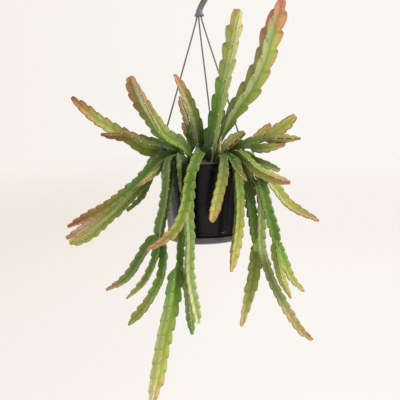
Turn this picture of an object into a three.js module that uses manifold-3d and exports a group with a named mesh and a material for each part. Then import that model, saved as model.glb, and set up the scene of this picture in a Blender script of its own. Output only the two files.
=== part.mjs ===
// A hanging pot of Lepismium cruciforme: winged, scalloped stems rooted in a black nursery
// pot with a clip-on saucer and a three-strand hanger that ends in a hook.
// Millimetres, +Z up, front at -Y. The origin is where the hook bears on what it hangs from.
import * as THREE from 'three';
import { mergeVertices } from 'three/addons/utils/BufferGeometryUtils.js';
import Module from 'manifold-3d';

const wasm = await Module();
wasm.setup();

// Driving dimensions. Heights are measured from the top of the pot's rim.
const HOOK_HEIGHT = 304;
const GAP = 0.3;
const TURN_SEGMENTS = 40;

const RIM_RADIUS = 71;
const RIM_BAND = 10;
const RIM_LIP = 2.4;
const WALL = 1.5;
const SHOULDER_RADIUS = 60.2;
const SHOULDER_Z = -112;
const FLOOR_Z = -117.5;
const FOOT_RADIUS = 57.8;
const FOOT_BEAD = 59;
const FOOT_Z = -129.8;
const DRAIN_RADIUS = 4;
const DRAIN_RING = 38;
const DRAINS = 4;

const SAUCER_RADIUS = 61.2;
const SAUCER_TOP = -120.6;
const SAUCER_BASE = -131.8;
const SAUCER_LIP = 58.2;

const SOIL_EDGE_Z = -6.5;
const SOIL_CROWN_Z = -1.6;
const SOIL_CROWN_RADIUS = 18;
const SOIL_SLOPE_RADIUS = 36;
const SOIL_SHOULDER_RADIUS = 48;
const ROOT_Z = -19;
const STALK_Z = -4;
const ROOT_ROOM = 1.8;

const EAR_RING = 73.6;
const EAR_ROOT = RIM_RADIUS - 1.4;
const EAR_WIDTH = 9;
const EAR_TOP = -1;
const EAR_THICKNESS = 3;
const EAR_HOLE = 1.9;
const EAR_ANGLES = { left: 194, right: 342, back: 73 };

const STRAND_RADIUS = 1.3;
const STRAND_TOP = 239;
const STRAND_SIDES = 8;
const KINK_TOP = 14.7;
const KINK_BASE = 5;
const KINK_OFFSET = 2;
const SOCKET_RING = 3.2;
const SOCKET_DEPTH = 7;
const SOCKET_ANGLES = { left: 180, right: 325, back: 101 };
const BARB_RADIUS = 2.6;
const BARB_LENGTH = 4;

const HUB_BASE = 235;
const HUB_TOP = 246;
const HUB_RADIUS = 8.2;
const HUB_X = -0.4;
const HUB_SEGMENTS = 18;
const CROOK_RADIUS = 20.7;
const HOOK_WIDTH = 9.4;
const HOOK_DEPTH = 6;
const HOOK_CHAMFER = 1.5;
const HOOK_ARC = { from: -35, to: 195, step: 23 };
const SHANK_X = 10;
const SHANK_DROP = 25;

// The shape that all stems share. Lengths and radii are parts of a lobe or of the reach.
const STEP = 2;
const BARE = 15;
const ROOT_FADE = 40;
const BRANCH_BARE = 2;
const BRANCH_FADE = 12;
const CORE_MIN = 2.6;
const CORE_MAX = 4;
const CORE_SHARE = 0.45;
const VALLEY = 0.32;
const SCALLOP = 0.15;
const SCALLOP_MAX = 0.3;
const RISE_PHASE = 0.35;
const RISE_DROP = 0.25;
const CREST_PHASE = 0.8;
const LONG_LOBE = 20;
const BEND = 9;
const BEND_STEP = 5;
const WINGS = 3;
const TIP = [3.5, 0.25];
const APEX = 0.15;
const UNEVEN = 0.16;

// Each stem has its reach from axis to wing margin, the length of a lobe, the angle of its
// first wing from the front at mid length, and its route. A root is where it leaves the soil.
const STEMS = {
  stem_tall_centre: {
    reach: 16, lobe: 28, turn: 8, phase: [0, 0, 0.45], fade: 22,
    tip: [1.2, 0.6], tint: 'leaf', root: [12, -41],
    route: [[12, -41, 14], [15, -42, 35], [31, -46, 103], [44, -50, 158], [61, -54, 236]],
  },
  stem_tall_right: {
    reach: 22.5, lobe: 32, turn: -16, twist: -12, phase: [-0.07, 0.26, -0.13], fade: 150,
    tip: [1.6, 0.4], tint: 'leaf', root: [19, -17],
    route: [[22, -19, 14], [28, -24, 33], [39, -30, 58], [52, -34, 82], [75, -35, 113],
      [99, -35, 160], [113, -33, 207], [131, -28, 254]],
  },
  stem_upright_left: {
    reach: 12.5, lobe: 17, turn: -22, twist: -15, fade: 20,
    tip: [3, 0.3], tint: 'young', root: [-2, -24],
    route: [[-3, -24, 10], [-4, -24, 27], [-7, -25, 53], [-16, -28, 81], [-27, -31, 109],
      [-42, -33, 140]],
  },
  stem_upright_small: {
    reach: 8.5, lobe: 15, turn: 20, tip: [2, 0.4], tint: 'young', root: [-21, 7],
    route: [[-22, 6, 15], [-20, 6, 35], [-21, 6, 53], [-26, 6, 76], [-32, 6, 93], [-35, 6, 107]],
    branches: [
      {
        reach: 6, lobe: 12, turn: 40, tip: [1.5, 0.4],
        route: [[-20, 6, 32], [-24, 4, 42], [-28, 3, 53], [-32, 2, 64]],
      },
      {
        reach: 9.5, lobe: 13, turn: 10, tip: [1.5, 0.3],
        route: [[-21, 5, 15], [-16, 2, 25], [-16, 0, 37], [-19, -2, 48], [-16, -4, 63]],
      },
    ],
  },
  stem_left_high: {
    reach: 16.5, lobe: 17, turn: -6, twist: 82, fade: 60,
    tip: [1.5, 0.55], tint: 'leaf', root: [-14, -31],
    route: [[-32, -46, 26], [-60, -50, 44], [-78, -51, 71], [-95, -50, 100], [-111, -48, 137]],
  },
  stem_left_top: {
    reach: 13.6, lobe: 17, turn: -38, tip: [2.5, 0.3], tint: 'young', root: [-30, 20],
    route: [[-58, 30, 22], [-89, 30, 30], [-118, 30, 38], [-149, 23, 54], [-178, 14, 74],
      [-203, 8, 97], [-214, 6, 109]],
  },
  stem_left_level: {
    reach: 19, lobe: 17, turn: 20, fade: 60, tip: [6, 0.2], tint: 'leaf', root: [-34, -4],
    route: [[-52, 3, 15], [-72, 5, 21], [-93, 3, 26], [-127, -2, 45], [-147, -5, 46],
      [-165, -8, 48]],
  },
  stem_left_arch: {
    reach: 11, lobe: 15, turn: -30, twist: -25, tip: [3, 0.3], tint: 'leaf', root: [-33, -24],
    route: [[-43, -37, 12], [-61, -38, 9], [-80, -40, -7], [-116, -42, -40], [-154, -43, -67],
      [-191, -44, -86], [-220, -44, -99]],
    branches: [
      {
        reach: 8, lobe: 13, turn: 0,
        route: [[-63, -40, 3], [-74, -49, -12], [-96, -56, -29], [-105, -58, -35]],
      },
    ],
  },
  stem_left_low: {
    reach: 14, lobe: 16, turn: 0, fade: 65, tip: [2, 0.5], tint: 'leaf', root: [-50, -7],
    route: [[-59, -7, 13], [-71, -5, 12], [-81, -3, 0], [-92, -3, -21], [-128, -8, -61],
      [-163, -12, -92], [-198, -12, -121], [-224, -12, -131]],
    branches: [
      {
        reach: 11.5, lobe: 13, turn: -40, tip: [5, 0.4],
        route: [[-150, -10, -81], [-166, -4, -84], [-183, -1, -95], [-199, 0, -107],
          [-216, 0, -117], [-231, 0, -125]],
      },
    ],
  },
  stem_left_small: {
    reach: 7.6, lobe: 14, turn: 60, tip: [4, 0.5], tint: 'old', root: [-50, 12],
    route: [[-59, 15, 9], [-72, 19, 5], [-90, 24, -31], [-107, 27, -62], [-131, 28, -84]],
  },
  stem_hang_left: {
    reach: 12.2, lobe: 15, turn: -15, tip: [1.5, 0.5], tint: 'old', root: [-45, -44],
    route: [[-46, -52, 10], [-52, -61, 4], [-54, -64, -12], [-56, -62, -34], [-62, -60, -70],
      [-69, -60, -96], [-73, -60, -122]],
    branches: [
      {
        reach: 11, lobe: 15, turn: -30,
        route: [[-73, -60, -112], [-86, -60, -125], [-103, -60, -150], [-120, -60, -176],
          [-134, -60, -188], [-159, -60, -201]],
      },
      {
        reach: 8.5, lobe: 14, turn: -30,
        route: [[-73, -62, -114], [-76, -67, -137], [-81, -71, -155], [-98, -77, -186],
          [-125, -80, -211]],
      },
      {
        reach: 10.6, lobe: 17, turn: -30, tip: [1.5, 0.2],
        route: [[-71, -59, -112], [-66, -52, -142], [-67, -51, -164], [-71, -50, -184],
          [-98, -48, -232], [-127, -48, -263]],
      },
    ],
  },
  stem_front_arch: {
    reach: 11, lobe: 16, turn: 40, tint: 'leaf', root: [-4, -41],
    route: [[-4, -56, 15], [-5, -72, 16], [-10, -92, 9], [-17, -108, -6], [-23, -112, -28],
      [-29, -112, -60], [-42, -113, -92], [-64, -114, -113], [-88, -115, -127]],
  },
  stem_front_thin: {
    reach: 5, lobe: 14, turn: 20, tint: 'old', root: [-34, -49],
    route: [[-36, -58, 11], [-38, -70, 14], [-38, -83, 4], [-37, -91, -12], [-36, -91, -42]],
  },
  stem_hang_front: {
    reach: 9, lobe: 15, turn: 30, tip: [1.5, 0.5], tint: 'old', root: [-24, -51],
    route: [[-27, -61, 7], [-30, -70, 7], [-31, -78, -8], [-31, -77, -41], [-33, -77, -72],
      [-38, -80, -111], [-41, -87, -166]],
    branches: [
      {
        reach: 16.5, lobe: 22, turn: 8, fade: 26, tip: [2.5, 0.35],
        route: [[-41, -87, -153], [-48, -89, -181], [-56, -93, -224], [-68, -96, -271],
          [-78, -98, -324], [-91, -100, -378]],
      },
      {
        reach: 9, lobe: 13, turn: 0, tip: [2, 0.4],
        route: [[-39, -85, -158], [-32, -83, -178], [-29, -79, -200], [-26, -77, -240],
          [-23, -76, -272]],
      },
    ],
  },
  stem_hang_middle: {
    reach: 11.3, lobe: 16, turn: 18, fade: 62, tip: [2, 0.45], tint: 'old', root: [-13, -57],
    route: [[-16, -68, 7], [-16, -81, 3], [-20, -88, -12], [-23, -89, -40], [-25, -91, -78],
      [-24, -97, -118], [-26, -99, -168], [-19, -100, -220], [-13, -100, -247]],
  },
  stem_front_short: {
    reach: 11, lobe: 13, turn: 55, fade: 60, tip: [1.5, 0.5], tint: 'leaf', root: [22, -55],
    route: [[28, -66, 10], [32, -80, 4], [31, -88, -12], [28, -90, -28], [20, -92, -58],
      [12, -94, -89]],
  },
  stem_front_curl: {
    reach: 7.5, lobe: 13, turn: 20, tip: [2.5, 0.3], tint: 'young', root: [32, -47],
    route: [[36, -60, 12], [44, -77, 6], [52, -91, -10], [60, -96, -20], [66, -98, -27]],
  },
  stem_hang_right: {
    reach: 11.7, lobe: 16, turn: 22, tip: [2.5, 0.3], tint: 'leaf', root: [42, -40],
    route: [[46, -52, 8], [49, -62, 7], [52, -71, -8], [54, -72, -35], [55, -71, -67],
      [52, -72, -105], [41, -75, -172]],
  },
  stem_hang_right_back: {
    reach: 11.5, lobe: 16, turn: 60, bare: 40, tip: [1.5, 0.5], tint: 'old', root: [53, -22],
    route: [[58, -31, 9], [62, -37, 8], [68, -40, 2], [72, -36, -14], [75, -26, -38],
      [77, -17, -65], [82, -14, -102], [86, -14, -140]],
    branches: [
      {
        reach: 13.8, lobe: 17, turn: 60, fade: 22, tip: [5, 0.3],
        route: [[87, -14, -130], [85, -17, -149], [81, -24, -184], [72, -32, -219], [58, -38, -271]],
      },
    ],
  },
  stem_trail_right: {
    reach: 10.4, lobe: 16, turn: 37, bare: 75, tip: [3, 0.35], tint: 'old', root: [50, -31],
    route: [[55, -43, 5], [62, -50, 1], [73, -50, -20], [85, -38, -38], [92, -37, -64],
      [92, -36, -100], [92, -34, -140], [103, -31, -183], [126, -26, -235], [157, -22, -285],
      [177, -20, -303]],
  },
  stem_forked_right: {
    reach: 11.5, lobe: 16, turn: 45, fade: 70, tip: [1.5, 0.5], tint: 'old', root: [57, -4],
    route: [[70, -4, 9], [81, -8, 1], [89, -39, -22], [92, -60, -34], [97, -64, -58],
      [103, -65, -84], [110, -65, -111], [115, -62, -133]],
    branches: [
      {
        reach: 9.8, lobe: 14, turn: 30,
        route: [[115, -63, -124], [119, -56, -140], [126, -49, -158], [139, -46, -191],
          [160, -45, -214]],
      },
      {
        reach: 10.5, lobe: 14, turn: 0,
        route: [[113, -64, -124], [113, -63, -141], [116, -63, -160], [122, -65, -187],
          [136, -67, -219]],
      },
    ],
  },
  stem_right_low: {
    reach: 12, lobe: 15, turn: 30, tint: 'leaf', root: [50, 13],
    route: [[62, 16, 9], [75, 16, 5], [90, 14, -10], [116, 10, -43], [145, 6, -79], [192, 0, -105]],
  },
  stem_right_level: {
    reach: 11.5, lobe: 13, turn: -5, fade: 60, tip: [2.5, 0.4], tint: 'leaf', root: [38, -29],
    route: [[45, -40, 11], [55, -51, 15], [70, -63, 3], [86, -68, -13], [122, -68, -30],
      [136, -68, -33]],
  },
  stem_right_top: {
    reach: 8.7, lobe: 14, turn: 60, bare: 44, fade: 48,
    tip: [2, 0.5], tint: 'leaf', root: [40, -5],
    route: [[50, -13, 14], [61, -23, 14], [69, -31, 9], [87, -33, 0], [104, -31, -7],
      [124, -31, -16]],
  },
  stem_right_high: {
    reach: 10.5, lobe: 15, turn: 60, fade: 70, tip: [1.5, 0.5], tint: 'young', root: [33, -18],
    route: [[43, -23, 18], [58, -31, 25], [75, -36, 30], [102, -37, 38]],
    branches: [
      {
        reach: 13, lobe: 13, turn: 60, tip: [2, 0.5],
        route: [[96, -37, 34], [115, -38, 45], [134, -38, 58], [149, -39, 71]],
      },
      {
        reach: 11, lobe: 12, turn: -4,
        route: [[94, -37, 34], [105, -41, 36], [114, -46, 36], [130, -50, 35], [155, -52, 35]],
      },
      {
        reach: 10.5, lobe: 12, turn: 60, tip: [3.5, 0.3],
        route: [[74, -35, 24], [92, -44, 21], [108, -48, 22], [131, -50, 26]],
      },
      {
        reach: 9.5, lobe: 13, turn: 60, tip: [2, 0.5],
        route: [[75, -34, 26], [84, -28, 33], [93, -24, 42], [102, -22, 50], [111, -20, 58]],
      },
    ],
  },
  stem_front_stub: {
    reach: 11.8, lobe: 12, turn: 14, tip: [2, 0.5], tint: 'young', root: [23, -33],
    route: [[28, -39, 10], [36, -42, 21], [54, -46, 37], [67, -49, 46]],
    branches: [
      {
        reach: 4, lobe: 10, turn: 0,
        route: [[28, -40, 11], [27, -44, 20], [28, -46, 30], [30, -47, 41]],
      },
    ],
  },
};

// The far side of the plant, behind the pot
const BACK_STEMS = [
  { reach: 9, lobe: 16, turn: 60, tint: 'old', root: [46, 28],
    route: [[56, 37, 9], [64, 44, 6], [70, 52, -10], [71, 57, -40], [66, 62, -80], [60, 66, -112]] },
  { reach: 10, lobe: 17, turn: 200, tint: 'leaf', root: [33, 39],
    route: [[39, 52, 9], [45, 68, 7], [50, 90, -14], [50, 104, -60], [44, 112, -104]] },
  { reach: 9.5, lobe: 15, turn: 180, tint: 'leaf', root: [6, 38],
    route: [[5, 52, 9], [5, 72, 11], [4, 100, -2], [2, 128, -36], [0, 142, -76], [-4, 148, -110]] },
  { reach: 8.5, lobe: 15, turn: 190, tint: 'old', root: [-9, 52],
    route: [[-12, 62, 8], [-16, 74, 5], [-20, 83, -10], [-24, 86, -50], [-28, 86, -90],
      [-26, 88, -120]] },
  { reach: 10, lobe: 17, turn: 180, tint: 'leaf', root: [-30, 38],
    route: [[-36, 50, 9], [-42, 64, 6], [-48, 80, -10], [-51, 100, -46], [-52, 112, -80],
      [-50, 118, -112]] },
  { reach: 8.5, lobe: 15, turn: 120, tint: 'old', root: [-44, 34],
    route: [[-52, 46, 9], [-62, 49, 5], [-67, 55, -12], [-66, 60, -50], [-61, 64, -88],
      [-55, 66, -118]] },
  { reach: 9, lobe: 16, turn: 140, tint: 'leaf', root: [6, 8],
    route: [[9, 12, 14], [13, 16, 40], [20, 18, 68], [27, 18, 96]] },
];
BACK_STEMS.forEach((stem, i) => { STEMS[`stem_back_${i + 1}`] = stem; });

// Materials
const finish = (color, roughness) => new THREE.MeshStandardMaterial({ color, roughness, metalness: 0 });
const MATERIALS = {
  pot: finish(0x17151a, 0.3),
  saucer: finish(0x5a585c, 0.35),
  hanger: finish(0x74747b, 0.45),
  soil: finish(0x3b2a20, 1),
  young: finish(0x9aa650, 0.5),
  leaf: finish(0x5f8738, 0.5),
  old: finish(0x4a7440, 0.5),
};

// Closed bodies and their joins and cuts
function toSolid(geometry) {
  const bare = geometry.clone();
  bare.deleteAttribute('normal');
  bare.deleteAttribute('uv');
  const merged = mergeVertices(bare, 1e-4);
  const corners = merged.index.array;
  const triangles = [];
  for (let i = 0; i < corners.length; i += 3) {
    const [a, b, c] = corners.slice(i, i + 3);
    if (a !== b && b !== c && c !== a) triangles.push(a, b, c);
  }
  return new wasm.Manifold(new wasm.Mesh({
    numProp: 3,
    vertProperties: new Float32Array(merged.attributes.position.array),
    triVerts: new Uint32Array(triangles),
  }));
}

function toGeometry(solid) {
  const mesh = solid.getMesh();
  const geometry = new THREE.BufferGeometry();
  geometry.setAttribute('position', new THREE.BufferAttribute(mesh.vertProperties, 3));
  geometry.setIndex(new THREE.BufferAttribute(mesh.triVerts, 1));
  return geometry;
}

// A profile of radii and heights turned about the pot's axis
function turned(profile, segments = TURN_SEGMENTS) {
  const points = profile.map(([r, z]) => new THREE.Vector2(r, z));
  return new THREE.LatheGeometry(points, segments).rotateX(Math.PI / 2);
}

// An upright post, used for holes as well
function post(radius, bottom, top, sides, x = 0, y = 0) {
  return new THREE.CylinderGeometry(radius, radius, top - bottom, sides)
    .rotateX(Math.PI / 2)
    .translate(x, y, (top + bottom) / 2);
}

function polar(radius, degrees) {
  const a = THREE.MathUtils.degToRad(degrees);
  return [radius * Math.cos(a), radius * Math.sin(a)];
}

function smooth(t) {
  const u = Math.min(Math.max(t, 0), 1);
  return u * u * (3 - 2 * u);
}

// A repeatable value from 0 to 1 for a pair of counts
function chance(a, b) {
  const v = Math.sin(a * 12.9898 + b * 78.233) * 43758.5453;
  return v - Math.floor(v);
}

// Pot: band, tapered wall, floor with drain holes, and a foot with a bead for the saucer
function pot() {
  const inner = (z) => SHOULDER_RADIUS - WALL
    + (RIM_RADIUS - RIM_LIP - SHOULDER_RADIUS + WALL) * (z - SHOULDER_Z) / (-RIM_BAND - SHOULDER_Z);
  let solid = toSolid(turned([
    [0, FLOOR_Z], [FOOT_RADIUS - 3, FLOOR_Z], [FOOT_RADIUS - 4.2, FOOT_Z],
    [FOOT_RADIUS - 2.3, FOOT_Z], [FOOT_BEAD, FOOT_Z + 4.8], [FOOT_BEAD, FOOT_Z + 6],
    [FOOT_RADIUS, FOOT_Z + 7], [FOOT_RADIUS, FLOOR_Z - 1.3], [SHOULDER_RADIUS - 0.4, FLOOR_Z - 0.5],
    [SHOULDER_RADIUS + 1, SHOULDER_Z - 4.6], [SHOULDER_RADIUS + 1, SHOULDER_Z - 1.2],
    [SHOULDER_RADIUS, SHOULDER_Z], [RIM_RADIUS - 1.6, -RIM_BAND - 0.8], [RIM_RADIUS, -RIM_BAND],
    [RIM_RADIUS, -0.6], [RIM_RADIUS - 0.6, 0], [RIM_RADIUS - RIM_LIP, 0],
    [RIM_RADIUS - RIM_LIP, -RIM_BAND], [inner(SHOULDER_Z), SHOULDER_Z],
    [SHOULDER_RADIUS - WALL - 0.4, FLOOR_Z + WALL], [0, FLOOR_Z + WALL],
  ]));
  for (const angle of Object.values(EAR_ANGLES)) solid = solid.add(ear(angle));
  for (let i = 0; i < DRAINS; i++) {
    const [x, y] = polar(DRAIN_RING, 45 + i * 360 / DRAINS);
    solid = solid.subtract(toSolid(post(DRAIN_RADIUS, FLOOR_Z - 1, FLOOR_Z + WALL + 1, 10, x, y)));
  }
  return toGeometry(solid);
}

// A lug on the band's outside with the hole that a strand drops through
function ear(angle) {
  const half = EAR_WIDTH / 2;
  const shape = new THREE.Shape();
  shape.moveTo(EAR_ROOT, -half);
  shape.lineTo(EAR_RING, -half);
  shape.absarc(EAR_RING, 0, half, -Math.PI / 2, Math.PI / 2, false);
  shape.lineTo(EAR_ROOT, half);
  shape.closePath();
  const hole = new THREE.Path();
  hole.absarc(EAR_RING, 0, EAR_HOLE, 0, 2 * Math.PI, true);
  shape.holes.push(hole);
  const plate = new THREE.ExtrudeGeometry(shape, {
    depth: EAR_THICKNESS, bevelEnabled: false, curveSegments: 4,
  });
  return toSolid(plate
    .translate(0, 0, EAR_TOP - EAR_THICKNESS)
    .rotateZ(THREE.MathUtils.degToRad(angle)));
}

// Saucer: its lip snaps over the bead on the pot's foot
function saucer() {
  return turned([
    [0, SAUCER_BASE], [SAUCER_RADIUS - 9, SAUCER_BASE], [SAUCER_RADIUS - 3.7, SAUCER_BASE + 2.3],
    [SAUCER_RADIUS - 0.7, SAUCER_BASE + 6.8], [SAUCER_RADIUS, SAUCER_TOP - 0.4],
    [SAUCER_RADIUS - 0.4, SAUCER_TOP], [SAUCER_LIP, SAUCER_TOP], [SAUCER_LIP, SAUCER_TOP - 2],
    [FOOT_BEAD + 0.4, SAUCER_TOP - 2.6], [FOOT_BEAD + 0.4, FOOT_Z + 4.5],
    [FOOT_RADIUS - 1.2, FOOT_Z + 0.4], [FOOT_RADIUS - 3, FOOT_Z - 0.4], [0, FOOT_Z - 0.4],
  ]);
}

// Soil with a plain hole for each root
function soil() {
  const top = RIM_RADIUS - RIM_LIP - GAP;
  let solid = toSolid(turned([
    [0, FLOOR_Z + WALL + GAP], [SHOULDER_RADIUS - WALL - 0.8, FLOOR_Z + WALL + GAP],
    [SHOULDER_RADIUS - WALL - 0.4, SHOULDER_Z], [top - 0.1, -RIM_BAND], [top, SOIL_EDGE_Z],
    [SOIL_SHOULDER_RADIUS, SOIL_EDGE_Z + 1], [SOIL_SLOPE_RADIUS, SOIL_EDGE_Z + 1.6],
    [SOIL_CROWN_RADIUS, SOIL_CROWN_Z - 0.4], [0, SOIL_CROWN_Z],
  ]));
  for (const stem of Object.values(STEMS)) {
    const hole = post(coreRadius(stem.reach) + ROOT_ROOM, ROOT_Z - GAP, SOIL_CROWN_Z + 2, 8, ...stem.root);
    solid = solid.subtract(toSolid(hole));
  }
  return toGeometry(solid);
}

function coreRadius(reach) {
  return THREE.MathUtils.clamp(reach * CORE_SHARE, CORE_MIN, CORE_MAX);
}

// Position, direction and an untwisted side vector at even steps along a route
function stationsAlong(points) {
  const line = new THREE.CatmullRomCurve3(points.map((p) => new THREE.Vector3(...p)), false, 'centripetal');
  line.arcLengthDivisions = 400;
  const length = line.getLength();
  const count = Math.ceil(length / STEP);
  const side = new THREE.Vector3(1, 0.001, 0);
  const rows = [];
  for (let i = 0; i <= count; i++) {
    const along = line.getTangentAt(i / count);
    side.addScaledVector(along, -side.dot(along)).normalize();
    rows.push({ at: line.getPointAt(i / count), along, side: side.clone() });
  }
  return { length, count, rows };
}

// Angle from the side vector to the front, seen at mid length
function frontAngle({ rows, count }) {
  const { along, side } = rows[Math.round(count / 2)];
  const front = new THREE.Vector3(0, -1, 0).addScaledVector(along, along.y).normalize();
  return Math.atan2(new THREE.Vector3().crossVectors(side, front).dot(along), side.dot(front));
}

// The radius profiles of one stem: wing margins with their lobes, and the valleys between.
// A lobe widens from its notch to a crest just before the next notch.
function stemProfiles(stem, path, seed) {
  const { length, count, rows } = path;
  const phase = stem.phase ?? [0, 0, 0];
  const core = coreRadius(stem.reach);
  const bare = stem.root ? stem.bare ?? BARE : BRANCH_BARE;
  const fade = stem.fade ?? (stem.root ? ROOT_FADE : BRANCH_FADE);
  const lobes = Math.max(2, Math.round((length - bare) / stem.lobe));
  const pitch = (length - bare) / lobes;
  const [tipLobes, tipEnd] = stem.tip ?? TIP;
  const taper = (s) => {
    const t = Math.min((length - s) / (tipLobes * pitch), 1);
    return 1 - (1 - tipEnd) * (1 - t) ** 2;
  };
  const grown = (s) => smooth((s - bare) / fade);
  const reachAt = (s) => (core + (stem.reach - core) * grown(s)) * taper(s);
  const valleyAt = (s) => (core + (VALLEY * stem.reach - core) * grown(s)) * taper(s);

  // Places where the stem has bent since the last one
  const bends = (from, to) => {
    const along = (s) => rows[Math.round(s / length * count)].along;
    const places = [];
    let last = from;
    for (let s = from + BEND_STEP; s < to - BEND_STEP / 2; s += BEND_STEP) {
      const bend = THREE.MathUtils.radToDeg(along(last).angleTo(along(s)));
      if (bend > BEND || s - last > 2 * stem.lobe) {
        places.push(s);
        last = s;
      }
    }
    return places;
  };

  const stalk = [0, ...bends(0, bare), bare];
  const margins = [];
  for (let w = 0; w < WINGS; w++) {
    const margin = stalk.map((s) => [s, core]);
    const put = (s, size, drop) => {
      if (s > bare + 1 && s < length - 1) margin.push([s, reachAt(s) * size - drop]);
    };
    for (let k = -1; k <= lobes; k++) {
      const start = bare + (k + w / WINGS + phase[w]) * pitch;
      const depth = Math.min(SCALLOP * stem.lobe, SCALLOP_MAX * reachAt(start)) * grown(start);
      const size = 1 - UNEVEN * chance(seed + w, k) * grown(start);
      put(start, 1 - UNEVEN / 2 * grown(start), depth);
      if (stem.lobe > LONG_LOBE) put(start + RISE_PHASE * pitch, size, depth * RISE_DROP);
      put(start + CREST_PHASE * pitch, size, 0);
    }
    margin.push([length, reachAt(length)]);
    margins.push(margin);
  }

  const valley = [...stalk, ...bends(bare, length), length].map((s) => [s, valleyAt(s)]);
  return { margins, valley };
}

// One winged stem as a closed body
function stemBody(stem, seed) {
  const points = stem.root
    ? [[...stem.root, ROOT_Z], [...stem.root, STALK_Z], ...stem.route]
    : stem.route;
  const path = stationsAlong(points);
  const { margins, valley } = stemProfiles(stem, path, seed);
  const first = frontAngle(path) + THREE.MathUtils.degToRad(stem.turn);
  const twist = THREE.MathUtils.degToRad(stem.twist ?? 0);
  const positions = [];

  const place = (s, radius, angle) => {
    const f = Math.min(s / path.length, 1) * path.count;
    const i = Math.min(Math.floor(f), path.count - 1);
    const [a, b] = [path.rows[i], path.rows[i + 1]];
    const along = a.along.clone().lerp(b.along, f - i).normalize();
    const side = a.side.clone().lerp(b.side, f - i);
    side.addScaledVector(along, -side.dot(along)).normalize();
    const across = new THREE.Vector3().crossVectors(along, side);
    const turn = angle + twist * (s / path.length - 0.5);
    const at = a.at.clone().lerp(b.at, f - i)
      .addScaledVector(side, radius * Math.cos(turn))
      .addScaledVector(across, radius * Math.sin(turn));
    positions.push(at.x, at.y, at.z);
    return positions.length / 3 - 1;
  };

  // Lines of vertices round the stem: margin, valley, margin, valley and so on
  const lines = [];
  for (let w = 0; w < WINGS; w++) {
    const angle = first + w * 2 * Math.PI / WINGS;
    const mark = (list, a) => lines.push(list.map(([s, r]) => ({ s, v: place(s, r, a) })));
    mark(margins[w], angle);
    mark(valley, angle + Math.PI / WINGS);
  }

  const index = [];
  for (let n = 0; n < lines.length; n++) {
    const left = lines[n];
    const right = lines[(n + 1) % lines.length];
    let [i, j] = [0, 0];
    while (i < left.length - 1 || j < right.length - 1) {
      const climbLeft = j === right.length - 1
        || (i < left.length - 1 && left[i + 1].s <= right[j + 1].s);
      if (climbLeft) {
        index.push(left[i].v, right[j].v, left[i + 1].v);
        i += 1;
      } else {
        index.push(left[i].v, right[j].v, right[j + 1].v);
        j += 1;
      }
    }
  }

  const foot = lines.map((line) => line[0].v);
  for (let n = 1; n < foot.length - 1; n++) index.push(foot[0], foot[n + 1], foot[n]);
  const end = lines.map((line) => line.at(-1).v);
  const last = path.rows.at(-1);
  const apex = last.at.clone().addScaledVector(last.along, APEX * stem.reach);
  positions.push(apex.x, apex.y, apex.z);
  end.forEach((v, n) => index.push(v, end[(n + 1) % end.length], positions.length / 3 - 1));

  const geometry = new THREE.BufferGeometry();
  geometry.setAttribute('position', new THREE.Float32BufferAttribute(positions, 3));
  geometry.setIndex(index);
  return geometry;
}

// A stem with the branches that grew from its end
function stemWithBranches(stem, seed) {
  const body = stemBody(stem, seed);
  if (!stem.branches) return body;
  return toGeometry(stem.branches.reduce(
    (solid, branch, i) => solid.add(toSolid(stemBody(branch, seed + 10 * (i + 1)))),
    toSolid(body),
  ));
}

// Hanger: a strand runs straight from the hub to its ear, drops through it and ends in a barb
function strandSection(radius) {
  const shape = new THREE.Shape();
  for (let i = 0; i < STRAND_SIDES; i++) {
    const [x, y] = polar(radius, i * 360 / STRAND_SIDES);
    if (i === 0) shape.moveTo(x, y);
    else shape.lineTo(x, y);
  }
  shape.closePath();
  return shape;
}

function strandBody(place, radius, bottom) {
  const at = (x, r, angle, z) => new THREE.Vector3(...polar(r, angle), z).setX(x + polar(r, angle)[0]);
  const socket = (r, z) => at(HUB_X, r, SOCKET_ANGLES[place], z);
  const ear = (r, z) => at(0, r, EAR_ANGLES[place], z);
  const start = socket(SOCKET_RING + 1, STRAND_TOP - SOCKET_DEPTH);
  const end = ear(EAR_RING - KINK_OFFSET, KINK_TOP);
  const path = new THREE.CatmullRomCurve3([
    socket(SOCKET_RING, STRAND_TOP), start, start.clone().lerp(end, 0.5), end,
    ear(EAR_RING, KINK_BASE), ear(EAR_RING, bottom),
  ], false, 'centripetal');
  return new THREE.ExtrudeGeometry(strandSection(radius), {
    steps: 15, bevelEnabled: false, extrudePath: path,
  });
}

function strand(place) {
  const barbTop = EAR_TOP - EAR_THICKNESS - GAP;
  const barb = new THREE.CylinderGeometry(BARB_RADIUS, STRAND_RADIUS / 2, BARB_LENGTH, STRAND_SIDES)
    .rotateX(Math.PI / 2)
    .translate(...polar(EAR_RING, EAR_ANGLES[place]), barbTop - BARB_LENGTH / 2);
  return toGeometry(toSolid(strandBody(place, STRAND_RADIUS, barbTop - 1)).add(toSolid(barb)));
}

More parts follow.
